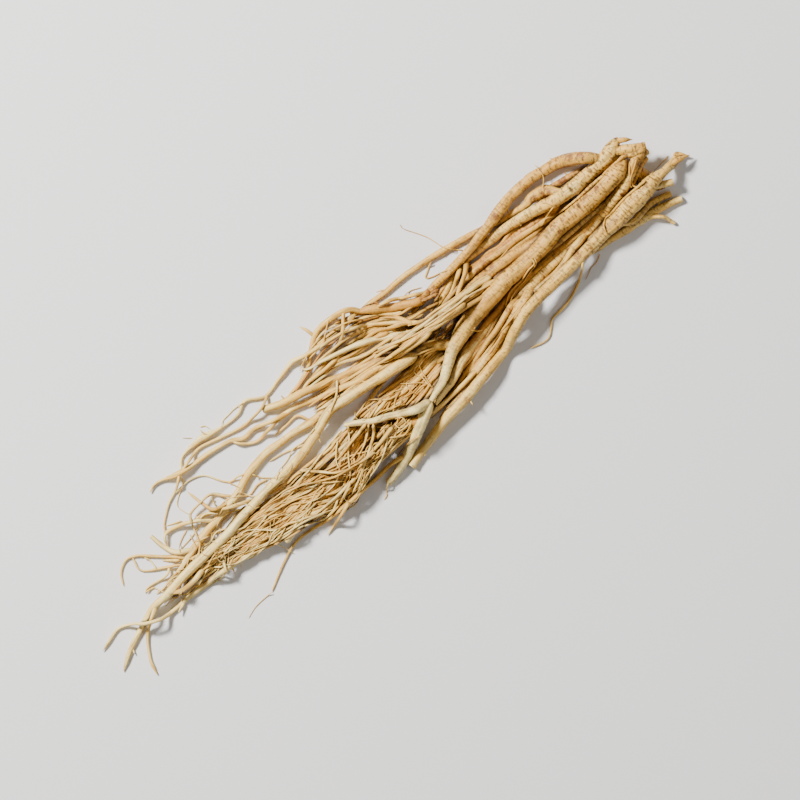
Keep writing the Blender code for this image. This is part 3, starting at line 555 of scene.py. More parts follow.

# How faces that turn down lose their painted shade, and how far a root's flanks get painted shade, below
# which slope.
UNDERSIDE = 0.6
FLANK_SHARE = 0.42
FLANK_UP = 0.85

# Short broken side roots, in plan units, degrees, and shares of their host's width or of their length.
SPUR_SEED = 51
SPUR_LEAST_HOST = 6.0
SPUR_SPACING = 70.0
SPUR_LENGTHS = (2.0, 7.0)
SPUR_WIDTHS = (1.2, 2.6)
SPUR_ANGLES = (25.0, 60.0)
SPUR_FIRST = (0.2, 1.0)
SPUR_SHIFT = 10.0
SPUR_SINK = 0.25
SPUR_WIDEST = 0.5
SPUR_HOOKS = (-0.4, 0.6)
SPUR_RISES = (-0.1, 0.35)
SPUR_TAPER = 0.45
SPUR_POINTS = 5
SPUR_CUT_CHANCE = 0.5

# Loose hairs over the mat and the tails, in plan units.
HAIR_SEED = 61
HAIR_COUNT = 18
HAIR_ACROSS = (-0.05, 1.05)
HAIR_HEADINGS = (90.0, 180.0)
HAIR_POINTS = (3, 9)
HAIR_STEP = 5.0
HAIR_TURN = 0.45
HAIR_WIDTHS = (0.8, 1.1)
HAIR_LOOK = Look(0.1, 0.0)


def smoothstep(value):
    """Ease from 0 to 1 as value goes from 0 to 1."""
    eased = np.clip(value, 0.0, 1.0)
    return eased * eased * (3.0 - 2.0 * eased)


def filled_widths(points):
    """Give each point its width: stated ones stay, and those between them follow in proportion."""
    given = [index for index, point in enumerate(points) if len(point) > 2]
    return np.interp(range(len(points)), given, [points[index][2] for index in given])


def follow(points, step):
    """Return places and widths at even steps along a smooth curve through the points."""
    knots = np.array([point[:2] for point in points], dtype=float)
    widths = filled_widths(points)
    ends = np.vstack((2 * knots[0] - knots[1], knots, 2 * knots[-1] - knots[-2]))
    fine_places = []
    fine_widths = []
    for index in range(len(knots) - 1):
        before, start, end, after = ends[index:index + 4]
        for share in np.linspace(0.0, 1.0, CURVE_STEPS, endpoint=False):
            bend = (
                2 * start + (end - before) * share
                + (2 * before - 5 * start + 4 * end - after) * share ** 2
                + (3 * start - before - 3 * end + after) * share ** 3)
            fine_places.append(bend / 2)
            fine_widths.append(widths[index] + (widths[index + 1] - widths[index]) * share)
    fine_places.append(knots[-1])
    fine_widths.append(widths[-1])
    fine_places = np.array(fine_places)
    run = np.concatenate(([0.0], np.cumsum(np.linalg.norm(np.diff(fine_places, axis=0), axis=1))))
    even = np.linspace(0.0, run[-1], max(2, round(run[-1] / step)) + 1)
    places = np.column_stack([np.interp(even, run, fine_places[:, axis]) for axis in range(2)])
    return places, np.interp(even, run, fine_widths)


def spread(values, reach):
    """Smooth a row of heights over a reach of samples, without letting it sink into its peaks."""
    count = max(1, round(reach))
    padded = np.pad(values, 2 * count, mode="edge")
    windows = np.lib.stride_tricks.sliding_window_view(padded, 2 * count + 1)
    raised = windows.max(axis=1)
    weights = np.hanning(2 * count + 3)[1:-1]
    return np.convolve(raised, weights / weights.sum(), mode="valid")


def press_weight(places):
    """Tell how far each place is grown together with what lies under it, from 0 to 1."""
    weight = np.zeros(len(places))
    for spot, reach in ((CROWN_SPOT, CROWN_REACH), (CREAM_HEAD_SPOT, CREAM_HEAD_REACH)):
        away = np.linalg.norm(places - np.array(spot), axis=1)
        weight = np.maximum(weight, 1.0 - smoothstep((away - reach) / PRESS_FADE))
    return weight


class Heap:
    """The height of what is laid so far, over the plan, in plan units."""

    def __init__(self, other=None):
        self.top = np.full((PLAN_SIDE, PLAN_SIDE), -np.inf) if other is None else other.top.copy()

    def around(self, place, radius):
        """Return the part of the plan under a ball at a place, and the ball's height over it."""
        radius = max(radius, LEAST_BALL)
        low = np.floor(place - radius).astype(int)
        high = np.ceil(place + radius).astype(int) + 1
        window = (slice(low[0], high[0]), slice(low[1], high[1]))
        x, y = np.mgrid[window]
        square = radius ** 2 - (x - place[0]) ** 2 - (y - place[1]) ** 2
        return window, np.sqrt(np.maximum(square, 0.0)), square >= 0.0

    def rest(self, places, widths, limp=1.0, sink=0.0):
        """Return the height of a root's middle where it lies on the heap, or sinks into it."""
        gap = CLEARANCE / PLAN_UNIT
        worn = widths.mean() * PLAN_UNIT >= WORN_LEAST_WIDTH
        floor = -WORN_FLAT / PLAN_UNIT if worn else gap / 2
        pressed = press_weight(places)
        heights = []
        for place, width, weight in zip(places, widths, pressed):
            window, ball, under = self.around(place, width / 2)
            touch = (self.top[window] + ball)[under].max()
            lift = gap * (1 - weight) - weight * PRESSED_SHARE * width / 2
            heights.append(max(floor + width / 2, touch + lift - sink * width))
        reach = limp * (STIFF_REACH + STIFF_PER_WIDTH * widths.mean()) / SAMPLE_STEP
        return spread(np.array(heights), reach)

    def add(self, places, heights, widths):
        """Lay a root on the heap."""
        for place, height, width in zip(places, heights, widths):
            window, ball, under = self.around(place, width / 2)
            covered = np.where(under, height + ball, -np.inf)
            self.top[window] = np.maximum(self.top[window], covered)


def follow_sides(sides):
    """Return the places at even steps along each of two sides."""
    return [follow([(*point, 1) for point in side], SAMPLE_STEP)[0] for side in sides]


def place_between(courses, along, across):
    """Return the place a share of the way along two sides and across from the first to the second."""
    left, right = [course[round(along * (len(course) - 1))] for course in courses]
    return left * (1 - across) + right * across


def bed_routes(bed):
    """Draw a bed's roots: they run along it, from one side of it towards the other."""
    rng = np.random.default_rng(bed.seed)
    courses = follow_sides(bed.sides)
    routes = []
    for number in range(bed.count):
        length = rng.uniform(*bed.lengths)
        start = (number + rng.uniform()) / bed.count * (1.0 - length)
        side = rng.uniform(*BED_SIDES)
        drift = rng.uniform(-bed.drift, bed.drift)
        width = rng.uniform(*bed.widths)
        points = []
        for share in np.linspace(0.0, 1.0, bed.points):
            across = side + drift * share + rng.normal(0.0, bed.wander)
            across = np.clip(across, -bed.overhang, 1.0 + bed.overhang)
            place = place_between(courses, start + length * share, across)
            points.append((*place, width * (1.0 - bed.taper * share)))
        routes.append(Route(f"{bed.name}_{number + 1}", "nearest", tuple(points)))
    return routes


def nearest_sample(place, laid):
    """Return the middle of the laid sample that is nearest to a place on the plan."""
    middles = np.vstack([np.column_stack((course[0], course[1])) for course in laid])
    return middles[np.argmin(np.linalg.norm(middles[:, :2] - place, axis=1))]


def graft(course, middle):
    """Bend a root's first stretch so that it starts at a middle point inside another root."""
    places, heights, widths = course
    run = np.arange(len(places)) * SAMPLE_STEP
    hold = 1.0 - smoothstep(run / (GRAFT_REACH + GRAFT_PER_WIDTH * widths[0]))
    places = places + np.outer(hold, middle[:2] - places[0])
    return places, heights + hold * (middle[2] - heights[0]), widths


def lay_main_roots():
    """Lay the solid's routes in turn and graft them, and return them with the heap under the top ones."""
    heap = Heap()
    laid = {}
    under = [*LOW_ROUTES, *UPPER_ROUTES, *MIDDLE_ROUTES, *MAT_ROUTES, *bed_routes(MAT_FIBRES)]
    mat_heap = None
    routes = [*under, *TOP_ROUTES]
    for number, route in enumerate(routes):
        if number == len(under):
            mat_heap = Heap(heap)
        places, widths = follow(route.points, SAMPLE_STEP)
        widths = np.maximum(widths, LEAST_WIDTH / PLAN_UNIT)
        heights = heap.rest(places, widths)
        heap.add(places, heights, widths)
        laid[route.name] = (places, heights, widths)
    for route in routes:
        course = laid[route.name]
        if route.parent == "nearest":
            hosts = [laid[other.name] for other in routes if not other.name.startswith(MAT_FIBRES.name)]
            course = graft(course, nearest_sample(course[0][0], hosts))
        elif route.parent:
            course = graft(course, nearest_sample(course[0][0], [laid[route.parent]]))
        if route.meets:
            backwards = tuple(values[::-1] for values in course)
            meeting = nearest_sample(backwards[0][0], [laid[route.meets]])
            course = tuple(values[::-1] for values in graft(backwards, meeting))
        laid[route.name] = course
    return laid, mat_heap


def wave(rng, run, length):
    """Return a smooth random wave along a run, with a mean size of about one."""
    knots = rng.normal(size=int(run[-1] / length) + 5)
    position = run / length + 1.0 + rng.uniform()
    low = np.floor(position).astype(int)
    share = smoothstep(position - low)
    return knots[low] * (1.0 - share) + knots[low + 1] * share


def domed(widths, away):
    """Round a root's end off: its widths, where it is a distance away from its end."""
    share = np.clip(away / (START_RUN * widths), DOME_LEAST, 1.0)
    return widths * np.sqrt(share * (2.0 - share))


def grown(name, course, look, rng):
    """Give a laid root the small bends and swellings of a grown one, and round or taper its ends."""
    places, heights, widths = course
    run = np.arange(len(places)) * SAMPLE_STEP
    along = np.gradient(places, axis=0)
    along /= np.linalg.norm(along, axis=1)[:, None]
    across = np.column_stack((-along[:, 1], along[:, 0]))
    for length, size in zip(BEND_WAVES, BEND_SIZES):
        places = places + across * (size * wave(rng, run, length))[:, None]
    thick = smoothstep((widths - FULL_WIDTHS[0]) / (FULL_WIDTHS[1] - FULL_WIDTHS[0]))
    thin = 1.0 - smoothstep((widths - SLIM_WIDTHS[0]) / (SLIM_WIDTHS[1] - SLIM_WIDTHS[0]))
    widths = widths * (1.0 + FULLNESS * thick - SLIMNESS * thin)
    for length, share in zip(SWELL_WAVES, SWELL_SHARES):
        widths = widths * (1.0 + share * wave(rng, run, length))
    if not look.cut:
        left_over = (run[-1] - run) / (TIP_RUN * widths[-1])
        widths = widths * (TIP_SHARE + (1.0 - TIP_SHARE) * smoothstep(left_over + TIP_LEAST_EASE))
    if not look.cut_start:
        widths = domed(widths, run)
    return Strand(name, places, heights, widths, look)


def tinted(rng, base, spread=TINT_SPREAD):
    """Draw a root's look round a base one, so that no two neighbours are alike."""
    pale = base.pale + rng.normal(0.0, spread[0])
    warm = base.warm + rng.normal(0.0, spread[1])
    return base._replace(pale=pale, warm=warm)


def bed_strands(beds, lay, rng):
    """Grow the roots of some beds, each laid by a function of its places and widths."""
    strands = []
    for bed in beds:
        for route in bed_routes(bed):
            places, widths = follow(route.points, SAMPLE_STEP)
            heights = lay(places, widths)
            look = tinted(rng, bed.look, BED_TINT_SPREAD)
            strands.append(grown(route.name, (places, heights, widths), look, rng))
    return strands


def floor_layer(rng):
    """Return a function that lays a root along the surface, a little above it."""
    def lay(places, widths):
        run = np.arange(len(places)) * SAMPLE_STEP
        lift = BED_LIFT * rng.uniform()
        return widths / 2 + lift + BED_WAVE_SIZE * np.abs(wave(rng, run, BED_WAVE_LENGTH))
    return lay


def heap_layer(heap, sink, limp=LIMP_SHARE):
    """Return a function that lays a root on a heap, sunk into it by a share of its width."""
    def lay(places, widths):
        heights = heap.rest(places, widths, limp, sink)
        heap.add(places, heights, widths)
        return heights
    return lay


def tapering(points, width):
    """Give a rootlet's points its width, which falls towards the tip."""
    return [(*points[0], width), *points[1:-1], (*points[-1], ROOTLET_TIP * width)]


def rootlet_strands(name, drawn, lay, base, rng):
    """Grow the rootlets that are drawn one by one, each laid by a function of its places and widths."""
    strands = []
    for number, (width, points) in enumerate(drawn):
        places, widths = follow(tapering(points, width), SAMPLE_STEP)
        course = (places, lay(places, widths), widths)
        strands.append(grown(f"{name}_{number + 1}", course, tinted(rng, base), rng))
    return strands


def spur_strands(hosts, rng):
    """Grow short broken side roots out of the flanks of the thicker roots."""
    spurs = []
    for host in hosts:
        if host.widths.mean() < SPUR_LEAST_HOST:
            continue
        run = (len(host.places) - 1) * SAMPLE_STEP
        for at in np.arange(rng.uniform(*SPUR_FIRST) * SPUR_SPACING, run, SPUR_SPACING):
            shifted = int((at + rng.uniform(-SPUR_SHIFT, SPUR_SHIFT)) / SAMPLE_STEP)
            number = max(1, min(len(host.places) - 2, shifted))
            wide = host.widths[number]
            along = host.places[number + 1] - host.places[number - 1]
            along /= np.linalg.norm(along)
            across = rng.choice((-1.0, 1.0)) * np.array((-along[1], along[0]))
            angle = math.radians(rng.uniform(*SPUR_ANGLES))
            length = rng.uniform(0.0, 1.0) ** 2 * (SPUR_LENGTHS[1] - SPUR_LENGTHS[0]) + SPUR_LENGTHS[0]
            width = min(rng.uniform(*SPUR_WIDTHS), SPUR_WIDEST * wide)
            start = host.places[number] + across * SPUR_SINK * wide
            reach = length + SPUR_SINK * wide
            heading = along * math.cos(angle) + across * math.sin(angle)
            hook = along * rng.uniform(*SPUR_HOOKS) * reach
            shares = np.linspace(0.0, 1.0, SPUR_POINTS)
            places = start + np.outer(shares * reach, heading) + np.outer(shares ** 2, hook)
            widths = width * (1.0 - SPUR_TAPER * shares)
            rise = rng.uniform(*SPUR_RISES) * wide
            heights = np.maximum(host.heights[number] + rise * shares, widths / 2)
            look = Look(host.look.pale, host.look.warm, rng.uniform() < SPUR_CUT_CHANCE)
            spurs.append(Strand(f"spur_{len(spurs) + 1}", places, heights, widths, look))
    return spurs


def hair_strands(lay, rng):
    """Grow loose curling hairs over the mat and the tails, each laid by a function."""
    courses = follow_sides(MAT_SIDES)
    hairs = []
    for number in range(HAIR_COUNT):
        place = place_between(courses, rng.uniform(0.0, 1.0), rng.uniform(*HAIR_ACROSS))
        heading = math.radians(rng.uniform(*HAIR_HEADINGS))
        turn = rng.normal(0.0, HAIR_TURN)
        points = [tuple(place)]
        for _ in range(rng.integers(*HAIR_POINTS)):
            heading += turn + rng.normal(0.0, HAIR_TURN)
            place = place + HAIR_STEP * np.array((math.cos(heading), math.sin(heading)))
            points.append(tuple(place))
        places, widths = follow(tapering(points, rng.uniform(*HAIR_WIDTHS)), SAMPLE_STEP)
        course = (places, lay(places, widths), widths)
        hairs.append(grown(f"hair_{number + 1}", course, HAIR_LOOK, rng))
    return hairs


def to_world(places, heights):
    """Turn plan places and heights into metres, with +X towards the crown."""
    right = (places[:, 0] - PLAN_CENTRE[0]) * PLAN_UNIT
    up = (PLAN_CENTRE[1] - places[:, 1]) * PLAN_UNIT
    turn = math.radians(CROWN_BEARING)
    x = right * math.cos(turn) + up * math.sin(turn)
    y = up * math.cos(turn) - right * math.sin(turn)
    return np.column_stack((x, y, heights * PLAN_UNIT))


def to_plan(points):
    """Return the plan's x and y of points in metres."""
    turn = math.radians(CROWN_BEARING)
    right = points[:, 0] * math.cos(turn) - points[:, 1] * math.sin(turn)
    up = points[:, 0] * math.sin(turn) + points[:, 1] * math.cos(turn)
    return right / PLAN_UNIT + PLAN_CENTRE[0], PLAN_CENTRE[1] - up / PLAN_UNIT


def blurred(heights, reach):
    """Blur a map of heights over a reach."""
    weights = np.hanning(2 * reach + 3)[1:-1]
    weights /= weights.sum()
    for axis in range(2):
        heights = np.apply_along_axis(np.convolve, axis, heights, weights, mode="same")
    return heights


def heap_of(strands):
    """Return the heap that grown roots make."""
    heap = Heap()
    for strand in strands:
        heap.add(strand.places, strand.heights, strand.widths)
    return heap


def crevice_maps(strands):
    """Return one blurred map of the grown heap for each size of crevice."""
    heap = heap_of(strands)
    top = np.where(np.isfinite(heap.top), heap.top, 0.0)
    return [blurred(top, reach) for reach, _, _ in CREVICES]


def painted_shade_and_scars(mesh, maps):
    """Store each point's painted shade, darker deep in a crevice and on a root's flanks, and how near to a
    scar it is.
    """
    count = len(mesh.vertices)
    points = np.empty(count * 3, dtype=np.float32)
    mesh.vertices.foreach_get("co", points)
    points = points.reshape(-1, 3)
    normals = np.empty(count * 3, dtype=np.float32)
    mesh.vertex_normals.foreach_get("vector", normals)
    upward = normals.reshape(-1, 3)[:, 2]
    plan_x, plan_y = to_plan(points)
    cell = tuple(np.clip(np.round(part).astype(int), 0, PLAN_SIDE - 1) for part in (plan_x, plan_y))
    # Painted shade: darker where the grown heap rises above a point and on the flanks, less on faces that
    # turn down.
    deep = np.zeros(count)
    for heights, (_, depth, share) in zip(maps, CREVICES):
        below = heights[cell] - points[:, 2] / PLAN_UNIT
        deep = np.maximum(deep, share * smoothstep(below / depth))
    deep = np.maximum(deep, FLANK_SHARE * (1.0 - smoothstep(upward / FLANK_UP)))
    deep *= smoothstep((upward + UNDERSIDE) / UNDERSIDE)
    scar = np.zeros(count)
    for x, y, reach in SCARS:
        away = np.hypot(plan_x - x, plan_y - y)
        scar = np.maximum(scar, 1.0 - smoothstep(away / reach))
    for name, values in (("deep", deep), ("scar", scar)):
        layer = mesh.attributes.new(name, "FLOAT", "POINT")
        layer.data.foreach_set("value", values.astype(np.float32))
    points[:, 2] = np.maximum(points[:, 2], CLEARANCE / 3)
    mesh.vertices.foreach_set("co", points.ravel())
    mesh.update()


class Wire:
    """An output socket. Arithmetic on it adds the Math nodes that work it out."""

    def __init__(self, shop, socket):
        self.shop = shop
        self.socket = socket

    def __add__(self, other):
        return self.shop.maths("ADD", self, other)

    def __radd__(self, other):
        return self.shop.maths("ADD", other, self)

    def __sub__(self, other):
        return self.shop.maths("SUBTRACT", self, other)

    def __rsub__(self, other):
        return self.shop.maths("SUBTRACT", other, self)

    def __mul__(self, other):
        return self.shop.maths("MULTIPLY", self, other)

    def __rmul__(self, other):
        return self.shop.maths("MULTIPLY", other, self)

    def __gt__(self, other):
        return self.shop.maths("GREATER_THAN", self, other)


class Shop:
    """Adds nodes to one node tree and links them."""

    def __init__(self, tree):
        self.tree = tree

    def node(self, kind, settings=None, sockets=None, output=0):
        """Add a node of a type: its settings first, then its sockets' values or links."""
        made = self.tree.nodes.new(kind)
        for name, value in (settings or {}).items():
            setattr(made, name, value)
        for name, value in (sockets or {}).items():
            if isinstance(value, Wire):
                self.tree.links.new(value.socket, made.inputs[name])
            else:
                made.inputs[name].default_value = value
        return Wire(self, made.outputs[output])

    def maths(self, operation, *values):
        """Add a Math node."""
        return self.node("ShaderNodeMath", {"operation": operation}, dict(enumerate(values)))

    def vectors(self, operation, *values):
        """Add a Vector Math node."""
        return self.node("ShaderNodeVectorMath", {"operation": operation}, dict(enumerate(values)))

    def scaled(self, vector, factor):
        """Scale a vector by one number."""
        return self.node("ShaderNodeVectorMath", {"operation": "SCALE"}, {0: vector, "Scale": factor})

    def pattern(self, grain, pattern):
        """Lay a pattern along the grain, from 0 to 1."""
        values = {
            "Vector": self.vectors("MULTIPLY", grain, pattern.squeeze), "Scale": pattern.scale,
            "Detail": pattern.detail, "Roughness": pattern.roughness}
        return self.node("ShaderNodeTexNoise", {}, values)

    def spots(self, grain, spots):
        """Lay spots along the grain: 1 in their middles, and 0 between them."""
        values = {"Vector": self.vectors("MULTIPLY", grain, spots.squeeze), "Scale": spots.scale}
        away = self.node("ShaderNodeTexVoronoi", {}, values, "Distance")
        tint = Wire(self, away.socket.node.outputs["Color"])
        chance = self.node("ShaderNodeSeparateXYZ", {}, {0: tint})
        return (1.0 - self.eased(away, *spots.fade)) * (chance > spots.rarity)

    def eased(self, value, low, high):
        """Ease from 0 to 1 as a value goes from low to high."""
        settings = {"interpolation_type": "SMOOTHSTEP"}
        return self.node("ShaderNodeMapRange", settings, {"Value": value, "From Min": low, "From Max": high})

    def mixed(self, factor, first, second):
        """Mix two colours."""
        return self.node("ShaderNodeMix", {"data_type": "RGBA"}, {0: factor, 6: first, 7: second}, 2)


def colour(red, green, blue):
    """Turn a colour as a screen shows it, from 0 to 255, into one that light is worked out with."""
    shares = [value / 255 for value in (red, green, blue)]
    return (*[s / 12.92 if s <= 0.04045 else ((s + 0.055) / 1.055) ** 2.4 for s in shares], 1.0)


class Pattern(NamedTuple):
    """A noise over the bark: how it is squeezed round and along a root, its scale and its grain."""

    squeeze: tuple
    scale: float
    detail: float = 2.0
    roughness: float = 0.5


class Spots(NamedTuple):
    """Spots over the bark: their squeeze and scale, where each starts and ends to fade, their rarity."""

    squeeze: tuple
    scale: float
    fade: tuple
    rarity: float


# What the bark's relief and colour are made of. Scales are for each metre.
EVEN = (1.0, 1.0, 1.0)
WRINKLES = Pattern((1.0, 1.0, 0.12), 420.0)
LUMPS = Pattern((1.0, 1.0, 0.55), 130.0)
CROSS_RIDGES = Pattern((0.34, 0.34, 1.0), 640.0, 2.0, 0.6)
STREAKS = Pattern((1.0, 1.0, 0.2), 260.0, 3.0, 0.6)
PATCHES = Pattern(EVEN, 46.0, 3.0, 0.6)
RUST_PATCHES = Pattern(EVEN, 30.0)
CRUMBS = Pattern(EVEN, 300.0, 3.0, 0.7)
FUZZ = Pattern(EVEN, 1100.0, 2.0, 0.7)
KNOTS = Spots((1.0, 1.0, 0.7), 62.0, (0.05, 0.24), 0.62)
PITS = Spots((0.5, 0.5, 1.0), 125.0, (0.08, 0.24), 0.62)
DOTS = Spots((0.6, 0.6, 1.3), 330.0, (0.12, 0.3), 0.7)

# Bark colours, as a screen shows them.
STRAW = colour(214, 156, 60)
GOLD = colour(240, 190, 88)
CREAM = colour(255, 228, 146)
ORANGE = colour(196, 130, 42)
UMBER = colour(92, 54, 14)
# The colour of the painted shade in the crevices and on the flanks.
SHADE = colour(52, 28, 8)
RUST = colour(134, 74, 32)
CUT_WOOD = colour(250, 222, 150)
PITH = colour(104, 64, 24)

# Where each colour and mark starts to show, and where it shows fully.
GOLD_RANGE = (-0.15, 0.5)
CREAM_RANGE = (0.35, 1.05)
ORANGE_RANGE = (0.0, 1.1)
CREASE_SHADE_RANGE = (0.34, 0.5)
FUZZ_RANGE = (0.52, 0.75)
RIDGE_RANGE = (0.53, 0.63)
RUST_RANGE = (0.7, 0.88)
SCAR_RANGE = (0.0, 0.5)
CRUMB_RANGE = (0.38, 0.54)
FLECK_RANGE = (0.48, 0.62)
WOOD_RANGE = (0.02, 0.3)
PITH_RANGE = (0.55, 1.0)

# How far patches and streaks change the paleness, and patches the warmth.
PATCH_PALE = 0.9
STREAK_PALE = 1.2
PATCH_WARM = 0.6

# How much of the cross ridges and pits is left far from the crown, and of the knots in the crust.
RIDGES_LEFT = 0.15
PITS_LEFT = 0.3
KNOT_CRUST = 0.8
CRUMB_CRUST = 0.7

# Each mark's strength and colour. They are laid over each other in this order. The first, in the wrinkles'
# grooves, is painted shade.
MARKS = {
    "crease_shade": (0.4, UMBER), "fuzz": (0.3, UMBER), "ridge": (0.72, UMBER), "pit": (0.85, UMBER),
    "dot": (0.6, UMBER), "crust": (0.75, RUST), "fleck": (0.7, UMBER)}
# How strongly the painted shade in the crevices and on the flanks shows.
PAINTED_SHADE_STRENGTH = 0.9

# How far wrinkles, lumps, crumbs, fuzz, cross ridges, pits and crust raise the surface, as shares.
BUMP_SHARES = (0.5, 0.3, 0.16, 0.14, -0.35, -0.5, -0.3)
BUMP_STRENGTH = 0.9
BUMP_DEPTH = 0.001
BARK_SHINE = 0.4

# Each bark: how strongly its pores and its scars show, and how rough it is.
BARKS = {"crown_bark": (1.0, 1.0, 0.54), "straw_bark": (0.65, 0.6, 0.58), "rootlet_skin": (0.3, 0.35, 0.62)}

# A cut end is hollowed in steps: the size of each, its depth in half widths, and its mark.
CUT_STEPS = ((0.74, 0.0, 0.5), (0.6, 0.5, 1.0))


def root_tree():
    """Build the tree that grows roots from their courses: chains of edges with a half width."""
    tree = bpy.data.node_groups.new("grow_roots", "GeometryNodeTree")
    for name, kind in (
            ("Courses", "NodeSocketGeometry"), ("Sides", "NodeSocketInt"),
            ("Ring spacing", "NodeSocketFloat"),
            ("Wrinkle share", "NodeSocketFloat"), ("Lump share", "NodeSocketFloat"),
            ("Knot height", "NodeSocketFloat"), ("Pit depth", "NodeSocketFloat"),
            ("Ridge depth", "NodeSocketFloat"), ("Bark", "NodeSocketMaterial")):
        tree.interface.new_socket(name, in_out="INPUT", socket_type=kind)
    tree.interface.new_socket("Roots", in_out="OUTPUT", socket_type="NodeSocketGeometry")
    shop = Shop(tree)
    given = tree.nodes.new("NodeGroupInput")

    def asked(name):
        return Wire(shop, given.outputs[name])

    def field(name, kind="FLOAT"):
        return shop.node("GeometryNodeInputNamedAttribute", {"data_type": kind}, {"Name": name})

    def stored(geometry, name, value, kind="FLOAT", selection=True):
        settings = {"data_type": kind, "domain": "POINT"}
        sockets = {"Geometry": geometry, "Name": name, "Value": value, "Selection": selection}
        return shop.node("GeometryNodeStoreNamedAttribute", settings, sockets)

    half_width = field("half_width")
    curves = shop.node("GeometryNodeMeshToCurve", {}, {"Mesh": asked("Courses")})
    curves = shop.node("GeometryNodeCurveSplineType", {"spline_type": "CATMULL_ROM"}, {"Curve": curves})
    values = {"Curve": curves, "Length": asked("Ring spacing")}
    curves = shop.node("GeometryNodeResampleCurve", {"mode": "LENGTH"}, values)
    circle = shop.node("GeometryNodeCurvePrimitiveCircle", {}, {"Resolution": asked("Sides"), "Radius": 1.0})
    circle = stored(circle, "turn", shop.node("GeometryNodeInputPosition"), "FLOAT_VECTOR")
    values = {"Curve": curves, "Profile Curve": circle, "Scale": half_width, "Fill Caps": True}
    tube = shop.node("GeometryNodeCurveToMesh", {}, values)
    around = shop.scaled(field("turn", "FLOAT_VECTOR"), half_width)
    grain = shop.vectors("ADD", around, field("course", "FLOAT_VECTOR"))
    tube = stored(tube, "grain", grain, "FLOAT_VECTOR")

    grain = field("grain", "FLOAT_VECTOR")
    wrinkles = (shop.pattern(grain, WRINKLES) - 0.5) * asked("Wrinkle share")
    lumps = (shop.pattern(grain, LUMPS) - 0.5) * asked("Lump share")
    rise = half_width * (wrinkles + lumps)
    rise = rise + shop.spots(grain, KNOTS) * asked("Knot height") * half_width
    rise = rise - shop.spots(grain, PITS) * asked("Pit depth") * half_width
    rise = rise - (shop.pattern(grain, CROSS_RIDGES) - 0.5) * asked("Ridge depth") * half_width
    outwards = shop.scaled(shop.node("GeometryNodeInputNormal"), rise)
    tube = shop.node("GeometryNodeSetPosition", {}, {"Geometry": tube, "Offset": outwards})

    corners = shop.node("GeometryNodeInputMeshFaceNeighbors")
    settings = {"data_type": "INT", "operation": "EQUAL"}
    caps = shop.node("FunctionNodeCompare", settings, {2: corners, 3: asked("Sides")})
    for share, depth, mark in CUT_STEPS:
        values = {"Mesh": tube, "Selection": caps, "Offset Scale": half_width * -depth, "Individual": True}
        extruded = shop.node("GeometryNodeExtrudeMesh", {"mode": "FACES"}, values)
        caps = Wire(shop, extruded.socket.node.outputs["Top"])
        values = {"Geometry": extruded, "Selection": caps, "Scale": share}
        tube = shop.node("GeometryNodeScaleElements", {"domain": "FACE"}, values)
        tube = stored(tube, "cut", mark, selection=caps)
    values = {"Geometry": tube, "Shade Smooth": True}
    tube = shop.node("GeometryNodeSetShadeSmooth", {"domain": "FACE"}, values)
    tube = shop.node("GeometryNodeRealizeInstances", {}, {"Geometry": tube})
    tube = shop.node("GeometryNodeSetMaterial", {}, {"Geometry": tube, "Material": asked("Bark")})
    ready = tree.nodes.new("NodeGroupOutput")
    tree.links.new(tube.socket, ready.inputs["Roots"])
    return tree


